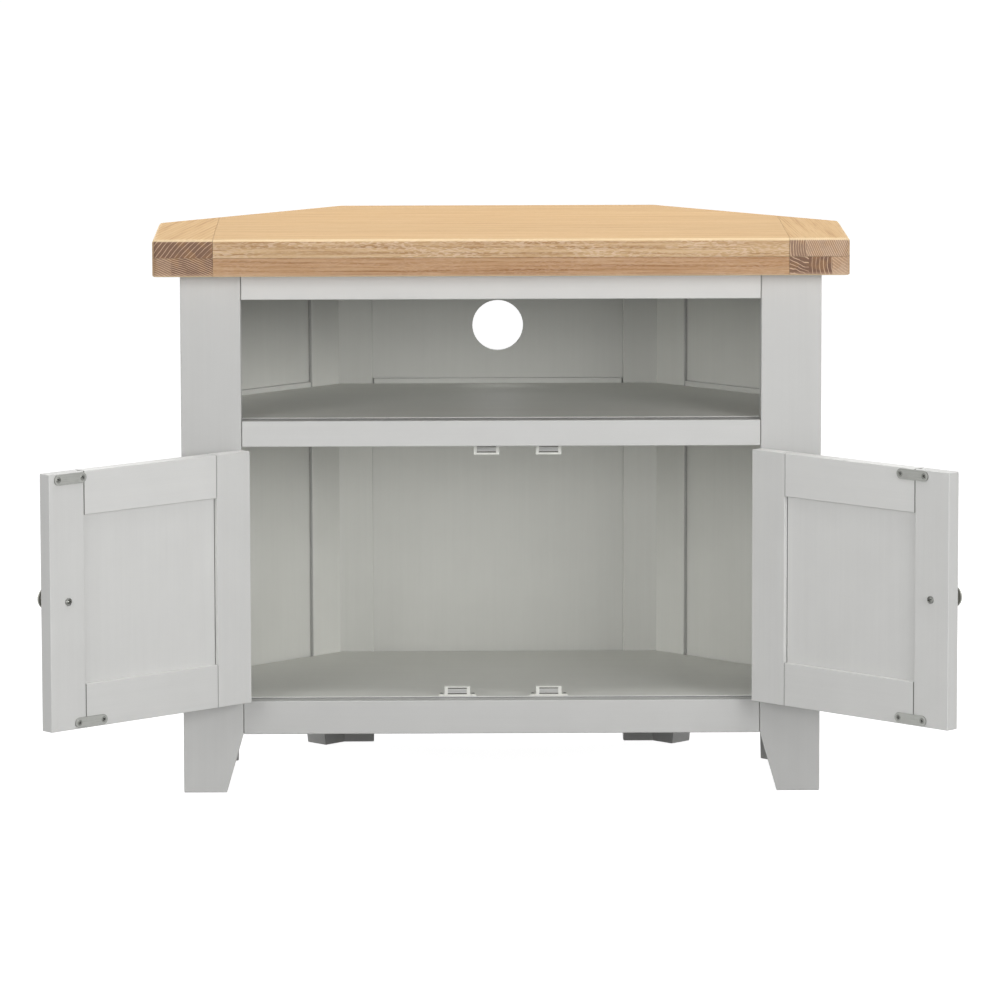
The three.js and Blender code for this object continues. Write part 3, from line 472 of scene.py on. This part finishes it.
def surface_piece(name, points, material, body, replaces=(), recess=None):
    """A mesh through grids of points, copies x rows x columns x 3: each grid is a closed surface whose
    columns wrap round, and its first and last rows each shrink to a point or meet their own far side. Where a
    recess is given, 0 to 1 for each point, the mesh keeps it as an attribute."""
    same_place, sharp_edge = 0.0001 * MM, math.radians(40)
    copies, rows, columns, _ = points.shape
    row, column = np.meshgrid(np.arange(rows - 1), np.arange(columns), indexing="ij")
    here, after = row * columns + column, row * columns + (column + 1) % columns
    quads = np.stack([here, after, after + columns, here + columns], -1)
    quads = quads.reshape(1, -1, 4) + np.arange(copies).reshape(-1, 1, 1) * rows * columns
    mesh = bpy.data.meshes.new(name)
    mesh.from_pydata(points.reshape(-1, 3), [], quads.reshape(-1, 4).tolist())
    if recess is not None:
        mesh.attributes.new(RECESS, "FLOAT", "POINT").data.foreach_set("value", recess.ravel())
    shape = bmesh.new()
    shape.from_mesh(mesh)
    bmesh.ops.remove_doubles(shape, verts=shape.verts, dist=same_place)
    bmesh.ops.recalc_face_normals(shape, faces=shape.faces)
    shape.to_mesh(mesh)
    shape.free()
    for face in mesh.polygons:
        face.use_smooth = True
    mesh.set_sharp_from_angle(angle=sharp_edge)
    mesh.materials.append(material)
    piece = bpy.data.objects.new(name, mesh)
    bpy.context.scene.collection.objects.link(piece)
    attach(piece, body)
    if replaces:
        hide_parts(*replaces)
    return piece


def turned(profile, columns):
    """A profile of radius and height, carried round the upright axis: x = r cos a, y = r sin a, z = h."""
    profile = np.asarray(profile, float)
    angle = np.linspace(0, 2 * np.pi, columns, endpoint=False)
    radius, height = profile[:, :1], profile[:, 1:]
    return np.stack(np.broadcast_arrays(radius * np.cos(angle), radius * np.sin(angle), height), -1)


def arc(start, end, bulge, steps):
    """Points on a quadratic curve: (1 - t)^2 start + 2 t (1 - t) bulge + t^2 end, with t from 0 to 1."""
    t = np.linspace(0, 1, steps)[:, None]
    start, end, bulge = (np.asarray(p, float) for p in (start, end, bulge))
    return (1 - t) ** 2 * start + 2 * t * (1 - t) * bulge + t**2 * end


def knob_shares():
    """A mushroom knob's profile from base to crown, as shares of the brim's radius and of the height: a flat
    foot, a waisted neck, a rounded brim and a domed crown, each a quadratic curve."""
    return np.vstack([
        [(0, 0), (0.6, 0)],
        arc((0.6, 0.04), (0.36, 0.2), (0.5, 0.14), 8),
        arc((0.36, 0.38), (1, 0.72), (0.36, 0.66), 14),
        arc((1, 0.76), (0.86, 0.84), (1, 0.83), 6),
        arc((0.8, 0.83), (0, 1), (0.5, 1), 18),
    ])


def screw_grid(head, crown, sink, shank, length, columns=72):
    """A screw about the upright axis with its seat at z = 0. Its top has height s + (c - s) (1 - (r/R)^2),
    with crown c and a side s on a head that isn't sunk, and a cross recess: two arms, each full depth within
    its half width and length and sloping up just outside. Below the rim the head narrows to the shank over
    the sink, or steps in where there is no sink. Oil darkens the recess, but for its middle."""
    radius = head / 2
    r = np.linspace(0, radius, 30)
    side = 0 if sink else 0.35 * crown
    top = np.stack([r, side + (crown - side) * (1 - (r / radius) ** 2)], -1)
    rim = [(radius, -0.12 * crown if sink else 0)]
    below = [(shank / 2, -sink), (shank / 2, -length), (0, -length)]
    points = turned(np.vstack([top, rim, below]), columns)
    half_width, reach, slope = 0.1 * head, 0.35 * head, 0.035 * head

    def arm(off_middle, outwards):
        return np.clip((half_width - off_middle) / slope, 0, 1) * np.clip((reach - outwards) / slope, 0, 1)

    across, along = np.abs(points[: len(r), :, 0]), np.abs(points[: len(r), :, 1])
    recess = np.maximum(arm(across, along), arm(along, across))
    away = np.hypot(across, along)
    depth = 0.2 * head
    points[: len(r), :, 2] -= recess * depth * (1 - 0.5 * away / reach)
    # Painted shade in the recess, but for its middle
    recess_shade = recess * np.clip(away / (0.13 * head), 0, 1)
    return points, np.pad(recess_shade, ((0, len(points) - len(r)), (0, 0)))


def screw_piece(name, shape, seats, material, body, replaces=()):
    """Like screws in one mesh, each about the upright axis until it is stood on its seat: a place, the way
    its head faces, and how far it is turned."""
    grid, recess = screw_grid(**shape)
    points = np.stack([stood(grid, *seat) for seat in seats])
    recess = np.broadcast_to(recess, points.shape[:-1])
    return surface_piece(name, points, material, body, replaces, recess)


def block_grid(size, radius, corner_steps=4):
    """A block with rounded arrises: the eighths of a small ball moved apart to the block's corners. A point
    is half the block less the radius, with the signs of the ball's direction there, plus radius times the
    direction."""
    quarter = np.linspace(0, np.pi / 2, corner_steps + 1)
    around = np.concatenate([quarter + k * np.pi / 2 for k in range(4)])
    signs = np.array([(1, 1), (-1, 1), (-1, -1), (1, -1)]).repeat(corner_steps + 1, axis=0)
    upper = np.linspace(np.pi / 2, 0, corner_steps + 1)
    tilt = np.concatenate([upper, -upper[::-1]])[:, None]
    up = np.repeat([1, -1], corner_steps + 1)[:, None]
    level = np.cos(tilt)
    ball = np.stack(np.broadcast_arrays(level * np.cos(around), level * np.sin(around), np.sin(tilt)), -1)
    apart = np.stack(np.broadcast_arrays(signs[:, 0], signs[:, 1], up), -1)
    points = apart * (np.asarray(size) / 2 - radius) + radius * ball
    top, bottom = (np.broadcast_to(row.mean(0) * (0, 0, 1), points[:1].shape) for row in points[[0, -1]])
    return np.concatenate([top, points, bottom])


def node_corners(node):
    """The places of a CAD node's vertices, as rows."""
    mesh = frame["nodes"][node].data
    places = np.empty(len(mesh.vertices) * 3)
    mesh.vertices.foreach_get("co", places)
    return places.reshape(-1, 3)


def glue_film(node, axis, way):
    """A film of glue in the gap beside a board's flat face, the face looking one way along an axis. Its
    outline is the face's own corners, in the order of their angle about the middle, drawn in a little."""
    set_back, near_face, thickness, flat = 0.25 * MM, 0.05 * MM, 0.2 * MM, 0.001 * MM
    corners = node_corners(node)
    level = (corners[:, axis] * way).max()
    corners = corners[corners[:, axis] * way > level - flat]
    across = [k for k in range(3) if k != axis]
    middle = (corners.min(0) + corners.max(0)) / 2
    spokes = corners[:, across] - middle[across]
    spokes = spokes[np.argsort(np.arctan2(spokes[:, 1], spokes[:, 0]))]
    spokes *= 1 - set_back / np.linalg.norm(spokes, axis=1, keepdims=True)
    rows = np.tile(middle, (4, len(spokes), 1))
    rows[1:3, :, across] += spokes
    rows[:2, :, axis] = way * (level + near_face)
    rows[2:, :, axis] = way * (level + near_face + thickness)
    return rows


def stood(points, origin, outward, spin=0.0):
    """Points about the upright axis, spun on it, laid with that axis outward, and moved to the origin."""
    outward = np.asarray(outward, float) / np.linalg.norm(outward)
    helper = (0, 0, 1) if abs(outward[2]) < 0.9 else (1, 0, 0)
    first = np.cross(helper, outward)
    first /= np.linalg.norm(first)
    second = np.cross(outward, first)
    turn = np.array([[math.cos(spin), math.sin(spin), 0], [-math.sin(spin), math.cos(spin), 0], [0, 0, 1]])
    return points @ turn @ np.stack([first, second, outward]) + np.asarray(origin)


def door_pin(side):
    """A door's pin and how far open it rests, from the joint that is zero at rest and shut at one limit."""
    joint = next(joint for joint in frame["joints"] if joint["child"] == f"door_{side}")
    shut = joint["range_deg"][1] if side == "left" else joint["range_deg"][0]
    return np.array(joint["pos_m"]) * (1, 1, 0), math.radians(-shut)


def door_axes(side):
    """The shut door's axes as they lie at rest: along it from the pin, in through its thickness, and up."""
    _, angle = door_pin(side)
    along = np.array([math.cos(angle), math.sin(angle), 0]) * (1 if side == "left" else -1)
    inward = np.array([-math.sin(angle), math.cos(angle), 0])
    return np.stack([along, inward, [0, 0, 1]])


def from_door(point, side):
    """From along, inward and up, measured from a door's pin, to the frame."""
    return np.asarray(point, float) @ door_axes(side) + door_pin(side)[0]


def door_box(node, side):
    """A door node's lowest and highest corners along, inward and up from the door's pin."""
    local = (node_corners(node) - door_pin(side)[0]) @ door_axes(side).T
    return local.min(0), local.max(0)


class CABINET_OT_paint(Operator):
    """Paint the carcass and the doors, with the grain along each member"""

    bl_idname = "cabinet.paint"
    bl_label = "Paint carcass and doors"

    def execute(self, context):
        # Painted light and shade: how much of the light is left on a face, in all or by height in millimetres
        back = shaded({110: 0.9, 250: 1.0, 390: 1.16, 425: 1.15, 432: 0.86, 520: 0.87, 580: 0.77})
        board_tops = shaded({0: 1.04, 300: 1.04, 430: 1.19})
        under_oak = {575: 1.0, 596: 1.0, 606: 1.22}
        legs = {"left": {40: 0.98, 450: 0.93, 580: 1.01}, "right": {40: 0.85, 450: 0.95, 580: 1.01}}
        walls = {
            "left": {110: 1.0, 400: 1.02, 430: 1.03, 580: 0.66},
            "right": {110: 1.08, 400: 1.08, 432: 1.02, 580: 1.27},
        }
        foot, arm_end = {0: 0.6, 66: 0.6, 69: 0.9}, {66: 1.0, 69: 0.74}

        plain = [f"{part}_{side}" for part in ("post_middle", "side_board") for side in SIDES]
        plain += [f"door_{side}_stile_hinge" for side in SIDES]
        # Top faces get a painted highlight
        self.paint("upright", plain, upright=True, faces=[(TOP, 1.3)])
        self.paint("back", ["panel_back"], upright=True, faces=[(FRONT, back)])
        self.paint("level", ["rail_bottom_back"], faces=[(FRONT, 0.6)])
        self.paint("boards", ["board_bottom", "board_shelf"], faces=[(FRONT, 0.28), (TOP, board_tops)])
        self.paint_level("strip", "shelf_strip_back", beyond=0.3, faces=[(FRONT, shaded(0.88))])
        # Each rail's tone darkens it with painted shade, the lower ones more
        for rail, tone, face in (
            ("top", 0.97, (FRONT, under_oak)), ("shelf", 0.87, (TOP, 0.86)), ("bottom", 0.79, (TOP, 0.95))
        ):
            self.paint_level(f"rail_{rail}", f"rail_{rail}_front", beyond=0.7, tone=tone, faces=[face])
        for side, slant in zip(SIDES, (math.pi / 4, -math.pi / 4)):
            inward, outward = (math.sin(slant), -math.cos(slant), 0), (-math.sin(slant), -math.cos(slant), 0)
            wall = shaded(walls[side])
            # The legs' tone darkens them with painted shade
            leg = dict(tone=0.86, upright=True, faces=[(FRONT, legs[side])])
            self.paint(f"leg_{side}", [f"leg_front_{side}"], **leg)
            self.paint(f"wall_{side}", [f"panel_side_{side}"], upright=True, faces=[(inward, wall)])
            faces = [(FRONT, {**foot, **back}), (inward, {**foot, **wall}), (outward, arm_end)]
            self.paint(f"post_{side}", [f"post_back_{side}"], upright=True, faces=faces)
            slanted = [f"rail_bottom_side_{side}", f"shelf_strip_side_{side}"]
            self.paint(f"slanted_{side}", slanted, turn=slant, faces=[(inward, shaded(0.97))])
            self.paint_door(side)
        return {"FINISHED"}

    def paint(self, shade_variant, nodes, **look):
        """Gives CAD nodes a batch of the paint of their own."""
        settings = bpy.context.scene.cabinet_paint
        finish_node(painted_wood(settings, f"satin_paint_{shade_variant}", **look), *nodes)

    def paint_level(self, shade_variant, node, beyond, **look):
        """A level member across the front or back, with a crease centred a little beyond each of its ends."""
        low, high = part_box(node)
        self.paint(shade_variant, [node], creases=[low.x / MM - beyond, high.x / MM + beyond], **look)

    def paint_door(self, side):
        """A door's members but the hinge stile: creases where the rails meet the stiles and beside the
        panel's hinge end, a duller free edge, paler top edges."""
        along, inward, _ = door_axes(side)
        turn = door_pin(side)[1]
        # Painted shade on the free edge and on the lock stile's top
        edges = [(along, 0.88), (TOP, 0.9)]
        self.paint(f"pull_{side}", [f"door_{side}_stile_lock"], upright=True, faces=edges)
        hinge_stile, lock_stile = (door_box(f"door_{side}_stile_{edge}", side) for edge in ("hinge", "lock"))
        meeting = from_door([(hinge_stile[1][0], 0, 0), (lock_stile[0][0], 0, 0)], side)
        joints = (meeting @ (math.cos(turn) / MM, math.sin(turn) / MM, 0)).tolist()
        # Painted light higher up on the inner faces
        inner_face = (inward, {110: 1.0, 400: 1.07})
        rails = [f"door_{side}_rail_{row}" for row in ("upper", "lower")]
        self.paint(f"door_{side}", rails, turn=turn, creases=joints, faces=[(TOP, 1.08), inner_face])
        # A line of painted shade on the panel just beside the hinge stile
        into_stile = 0.7
        groove_shade_line = joints[0] + (-into_stile if side == "left" else into_stile)
        panel = dict(turn=turn, upright=True, creases=[groove_shade_line], faces=[inner_face])
        self.paint(f"panel_{side}", [f"door_{side}_panel"], **panel)


class CABINET_OT_oak_top(Operator):
    """Lay the oak's long grain and end grain on the two layers of the top, and glue between its boards"""

    bl_idname = "cabinet.oak_top"
    bl_label = "Oak top"

    def execute(self, context):
        settings = context.scene.cabinet_oak
        front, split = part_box("top_field")[0].y / MM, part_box("top_field")[0].z / MM
        left, inner = (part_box(f"top_end_board_{side}")[0].x / MM for side in SIDES)
        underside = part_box("top_under_board")[0].z / MM
        upper, under = dict(tint=(1.06, 1.08, 1.08)), dict(underside=underside)
        duller = dict(tint=(0.875, 0.79, 0.755), flecks=0.32, seed=11, **under)
        field_stave = Stave(front - 500, split - 700, 5.5, 6)
        under_stave = Stave(front - 60, split - 180, 4.5, 6)
        stave_count = 5
        for name, node, stave, width, look in (
            ("field", "top_field", field_stave, 82, dict(flecks=0.58, seed=3, **upper)),
            ("edging", "top_front_edging", under_stave, 70, duller),
            ("under", "top_under_board", under_stave, 70, dict(sealed=True, **duller)),
        ):
            joints = [front + width * k for k in range(1, stave_count)]
            finish_node(oak(settings, f"oak_{name}", "X", [stave] * stave_count, joints, **look), node)
        ends = {
            "top_end_board_left": (
                [Stave(left + 215, split - 145, 4.4, 3, 0.15, 0.14)],
                [], dict(skew=-0.17, seed=5, **upper),
            ),
            "top_under_end_left": (
                [
                    Stave(left - 70, split - 190, 2.4, 3, 0.3, 0.32),
                    Stave(left - 47, split - 241, 2.3, 3, 0.26, 0.12),
                ],
                [left + 22], dict(seed=6, **under),
            ),
            "top_end_board_right": (
                [
                    Stave(inner + 40, split + 12, 3, 5, 0.3, 0.3),
                    Stave(inner + 210, split + 90, 2.2, 3, 0.4, 0.5),
                ],
                [inner + 14], dict(skew=0.05, seed=7, **upper),
            ),
            "top_under_end_right": (
                [
                    Stave(inner - 5, split - 60, 4.6, 16, 0.2, 0.12),
                    Stave(inner + 90, split - 8, 4.6, 4, 0.15, 0.1),
                    Stave(inner + 150, split + 120, 3.0, 4, 0.3, 0.7),
                ],
                [inner + 22, inner + 49], dict(seed=8, **under),
            ),
        }
        for node, (staves, joints, look) in ends.items():
            finish_node(oak(settings, f"oak_{node}", "Y", staves, joints, **look), node)
        self.glue_boards(bpy.data.materials["oak_field"])
        return {"FINISHED"}

    def glue_boards(self, material):
        """Thin films of glue, set back from the surface, between end boards and field and between layers."""
        upper = ("top_field", "top_end_board_left", "top_end_board_right")
        films = [glue_film(node, 2, -1) for node in upper]
        for node in ("top_end_board", "top_under_end"):
            films += [glue_film(f"{node}_left", 0, 1), glue_film(f"{node}_right", 0, -1)]
        columns = max(film.shape[1] for film in films)
        films = [np.pad(film, ((0, 0), (0, columns - film.shape[1]), (0, 0)), "edge") for film in films]
        surface_piece("glue_films", np.stack(films), material, "carcass")


class CABINET_OT_knobs(Operator):
    """Turn the two knobs and their machine screws"""

    bl_idname = "cabinet.knobs"
    bl_label = "Knobs"

    def execute(self, context):
        settings = context.scene.cabinet_fittings
        satin = metal("satin_nickel", settings.knob_metal, roughness=0.34, brushed=(3, 3, 0.4), contrast=0.25)
        steel = metal("zinc_screw", settings.screw_steel, roughness=0.3, contrast=0.3, driven=True)
        raised = 0.3 * MM
        for side in SIDES:
            door, inward = f"door_{side}", door_axes(side)[1]
            low, high = door_box(f"{door}_knob", side)
            brim, height = (high[2] - low[2]) / 2, high[1] - low[1]
            along, _, up = (low + high) / 2
            base = from_door((along, high[1], up), side)
            grid = stood(turned(knob_shares() * (brim, height), columns=96), base, -inward)
            surface_piece(f"knob_{side}", grid[None], satin, door, [f"{door}_knob"])

            low, high = door_box(f"{door}_knob_screw", side)
            seat = door_box(f"{door}_stile_lock", side)[1][1]
            along, _, up = (low + high) / 2
            crown, length = high[1] - seat + raised, seat - low[1]
            shape = dict(head=settings.knob_screw_head, crown=crown, sink=0, shank=4 * MM, length=length)
            seats = [(from_door((along, seat, up), side), inward, 0.35)]
            screw_piece(f"knob_screw_{side}", shape, seats, steel, door, [f"{door}_knob_screw"])
        return {"FINISHED"}


class CABINET_OT_strike_plates(Operator):
    """Finish the strike plates and drive their screws"""

    bl_idname = "cabinet.strike_plates"
    bl_label = "Strike plates"

    def execute(self, context):
        settings = context.scene.cabinet_fittings
        hole_from_end = 5.5 * MM
        head = settings.plate_screw_head
        shape = dict(head=head, crown=0.35 * MM, sink=1.1 * MM, shank=3 * MM, length=8 * MM)
        for side in SIDES:
            plate = metal(f"zinc_plate_{side}", settings.steel, roughness=0.42, turn=door_pin(side)[1])
            seats = []
            for row, spin in (("upper", 0.3), ("lower", 0.9)):
                node = f"door_{side}_strike_{row}"
                finish_node(plate, node)
                low, high = door_box(node, side)
                for along, more in ((low[0] + hole_from_end, 0), (high[0] - hole_from_end, 0.5)):
                    place = from_door((along, high[1], (low[2] + high[2]) / 2), side)
                    seats.append((place, door_axes(side)[1], spin + more))
            screw = bpy.data.materials["zinc_screw"]
            screw_piece(f"strike_screws_{side}", shape, seats, screw, f"door_{side}")
        return {"FINISHED"}


class CABINET_OT_hinges(Operator):
    """Finish the butt hinges and drive their screws"""

    bl_idname = "cabinet.hinges"
    bl_label = "Hinges"

    def execute(self, context):
        settings = context.scene.cabinet_fittings
        leaf = metal("zinc_hinge", settings.steel, roughness=0.36, brushed=(0.5, 0.5, 14))
        screw = bpy.data.materials["zinc_screw"]
        spacing, behind_pin = 17 * MM, 10.3 * MM
        door_leaf_face, leg_leaf_face = 2.1 * MM, 1.7 * MM
        head = settings.hinge_screw_head
        shape = dict(head=head, crown=0.12 * MM, sink=0.9 * MM, shank=2.4 * MM, length=9 * MM, columns=48)
        for side, mirror in zip(SIDES, (1, -1)):
            pin = door_pin(side)[0]
            door_seats, leg_seats = [], []
            for row in ("upper", "lower"):
                finish_node(leaf, f"door_{side}_hinge_leaf_{row}", f"hinge_leg_{row}_{side}")
                low, high = door_box(f"door_{side}_hinge_leaf_{row}", side)
                for k in (-1, 0, 1):
                    height = (low[2] + high[2]) / 2 + k * spacing
                    place = from_door((door_leaf_face, behind_pin, height), side)
                    door_seats.append((place, -door_axes(side)[0], 0.4 * k))
                    place = (pin[0] + mirror * leg_leaf_face, pin[1] + behind_pin, height)
                    leg_seats.append((place, (mirror, 0, 0), 0.3 + 0.5 * k))
            screw_piece(f"hinge_screws_door_{side}", shape, door_seats, screw, f"door_{side}")
            screw_piece(f"hinge_screws_leg_{side}", shape, leg_seats, screw, "carcass")
        return {"FINISHED"}


class CABINET_OT_catches(Operator):
    """Finish the magnetic catches, and add their magnets, pole plates and screws"""

    bl_idname = "cabinet.catches"
    bl_label = "Catches"

    def execute(self, context):
        settings = context.scene.cabinet_fittings
        plastic, magnet = moulded_plastic(settings), ferrite(settings)
        screw = bpy.data.materials["zinc_screw"]
        # The pole plates are coloured dark: painted shade for the slots they sit in
        poles = metal("blackened_steel", settings.shaded_pole_steel, roughness=0.45, brushed=(12, 0.6, 0.6))
        # Along the catch, back from its front and up from its seat
        magnet_size, magnet_back, magnet_lift = (21.8 * MM, 2 * MM, 4.3 * MM), 0.85 * MM, 6.2 * MM
        pole_size, pole_back, pole_lifts = (22 * MM, 3 * MM, 1.3 * MM), 1.35 * MM, (3.0 * MM, 9.3 * MM)
        magnet_round, pole_round = 0.3 * MM, 0.2 * MM
        screw_from_middle, screw_lift = 18.5 * MM, 2 * MM
        head = settings.catch_screw_head
        shape = dict(head=head, crown=0.9 * MM, sink=0, shank=2.4 * MM, length=10 * MM, columns=48)
        blocks, plates, seats = [], [], []
        for row, upward in (("upper", -1), ("lower", 1)):
            for side in SIDES:
                node = f"catch_{row}_{side}"
                finish_node(plastic, node)
                low, high = (np.array(corner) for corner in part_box(node))
                x, y, _ = (low + high) / 2
                seat = low[2] if upward > 0 else high[2]
                place = (x, low[1] + magnet_back, seat + upward * magnet_lift)
                blocks.append(block_grid(magnet_size, magnet_round) + place)
                # Pole plates in the slots, dark as painted shade
                for lift in pole_lifts:
                    place = (x, low[1] + pole_back, seat + upward * lift)
                    plates.append(block_grid(pole_size, pole_round) + place)
                for way in (-1, 1):
                    place = (x + way * screw_from_middle, y, seat + upward * screw_lift)
                    seats.append((place, (0, 0, upward), 0.5 * way))
        surface_piece("catch_magnets", np.stack(blocks), magnet, "carcass")
        surface_piece("catch_pole_plates", np.stack(plates), poles, "carcass")
        screw_piece("catch_screws", shape, seats, screw, "carcass")
        return {"FINISHED"}


class CABINET_OT_stage(Operator):
    """Set the camera, the lamps, the white surroundings and the floor"""

    bl_idname = "cabinet.stage"
    bl_label = "Camera, lamps and floor"

    def execute(self, context):
        scene = context.scene
        settings = scene.cabinet_stage
        self.set_camera(scene, settings)
        for name, place, size in (
            ("key_lamp", (1.9, -2.3, 1.1), (1.4, 1.2)),
            ("fill_lamp", (-1.9, -2.4, 1.3), (1.4, 1.2)),
            ("side_lamp", (-3.0, -2.2, 1.0), (1.2, 1.2)),
            ("front_lamp", (0.3, -9.0, 1.7), (5, 3)),
            ("top_lamp", (0, 0, 2.6), (1.8, 1.4)),
            ("back_lamp", (0, 1.1, 2.0), (2.0, 0.8)),
            ("rim_lamp_left", (-3.0, 1.7, 1.1), (1.2, 1.2)),
            ("rim_lamp_right", (3.0, 1.7, 1.1), (1.2, 1.2)),
        ):
            power = getattr(settings, name.split("_")[0] + "_power")
            self.add_lamp(scene, name, power, place, size)
        self.set_world(scene, settings)
        self.add_floor(scene)
        scene.view_settings.view_transform = "Standard"
        return {"FINISHED"}

    def set_camera(self, scene, settings):
        data = bpy.data.cameras.new("photo_camera")
        data.lens = settings.camera_lens
        data.sensor_width = 36
        data.clip_end = 200
        camera = bpy.data.objects.new("photo_camera", data)
        scene.collection.objects.link(camera)
        level = Matrix.Rotation(-settings.camera_yaw, 4, "Z")
        tilt = Matrix.Rotation(math.pi / 2 - settings.camera_pitch, 4, "X")
        roll = Matrix.Rotation(settings.camera_roll, 4, "Z")
        camera.matrix_world = Matrix.Translation(settings.camera_place) @ level @ tilt @ roll
        scene.camera = camera

    def add_lamp(self, scene, name, power, place, size):
        """A soft lamp that looks at the middle of the cabinet."""
        middle = Vector((0, 0, 0.35))
        data = bpy.data.lights.new(name, "AREA")
        data.energy = power
        data.shape = "RECTANGLE"
        data.size, data.size_y = size
        lamp = bpy.data.objects.new(name, data)
        scene.collection.objects.link(lamp)
        aim = (middle - Vector(place)).to_track_quat("-Z", "Y")
        lamp.matrix_world = Matrix.Translation(place) @ aim.to_matrix().to_4x4()

    def seen_white(self, add):
        """1 for what the camera, a mirror or glass sees, 0 for light on its way round the room."""
        rays = ("Is Camera Ray", "Is Glossy Ray", "Is Transmission Ray")
        camera, mirror, glass = (add("LightPath", out=ray) for ray in rays)
        seen = add("Math", [camera, mirror], operation="MAXIMUM")
        return add("Math", [seen, glass], operation="MAXIMUM")

    def set_world(self, scene, settings):
        scene.world = bpy.data.worlds.new("studio")
        add = emptied(scene.world)
        room = add("Background", {"Color": 1, "Strength": settings.sky_strength})
        white = add("Background", {"Color": 1, "Strength": 1})
        add("OutputWorld", [add("MixShader", [self.seen_white(add), room, white])])

    def add_floor(self, scene):
        """A wide white floor. Near the object its paint still takes the shadow; further off it is white."""
        half, below = 60.0, 0.2 * MM
        mesh = bpy.data.meshes.new("floor")
        corners = [(-half, -half, 0), (half, -half, 0), (half, half, 0), (-half, half, 0)]
        mesh.from_pydata(corners, [], [(0, 1, 2, 3)])
        floor = bpy.data.objects.new("floor", mesh)
        floor.location.z = -below
        scene.collection.objects.link(floor)
        material, add, place = new_material("white_floor")
        far = add("VectorMath", [place], operation="LENGTH")
        whiter = {"From Min": 700, "From Max": 1600, "To Min": 0.955, "To Max": 1}
        glow = add("MapRange", {"Value": far, **whiter})
        seen_paint, room_paint = add("BsdfDiffuse", {"Color": 0.3}), add("BsdfDiffuse", {"Color": 0.42})
        lit = add("AddShader", [seen_paint, add("Emission", {"Color": 1, "Strength": glow})])
        add("OutputMaterial", [add("MixShader", [self.seen_white(add), room_paint, lit])])
        mesh.materials.append(material)


class CABINET_PT_looks(Panel):
    """The cabinet's settings and steps"""

    bl_idname = "CABINET_PT_looks"
    bl_label = "Corner TV cabinet"
    bl_space_type = "VIEW_3D"
    bl_region_type = "UI"
    bl_category = "Cabinet"

    def draw(self, context):
        for step in STEPS:
            self.layout.operator(step.bl_idname)
        for name in SETTINGS:
            group = getattr(context.scene, name)
            column = self.layout.column(heading=type(group).__doc__)
            for setting in type(group).__annotations__:
                column.prop(group, setting)


SETTINGS = {
    "cabinet_paint": CabinetPaint,
    "cabinet_oak": CabinetOak,
    "cabinet_fittings": CabinetFittings,
    "cabinet_stage": CabinetStage,
}
STEPS = (
    CABINET_OT_paint,
    CABINET_OT_oak_top,
    CABINET_OT_knobs,
    CABINET_OT_strike_plates,
    CABINET_OT_hinges,
    CABINET_OT_catches,
    CABINET_OT_stage,
)


def register():
    for group in (*SETTINGS.values(), *STEPS, CABINET_PT_looks):
        bpy.utils.register_class(group)
    for name, group in SETTINGS.items():
        setattr(bpy.types.Scene, name, PointerProperty(type=group))


def unregister():
    for name in SETTINGS:
        delattr(bpy.types.Scene, name)
    for group in reversed((*SETTINGS.values(), *STEPS, CABINET_PT_looks)):
        bpy.utils.unregister_class(group)


def main():
    register()
    for step in STEPS:
        area, name = step.bl_idname.split(".")
        getattr(getattr(bpy.ops, area), name)()


if __name__ == "__main__":
    main()
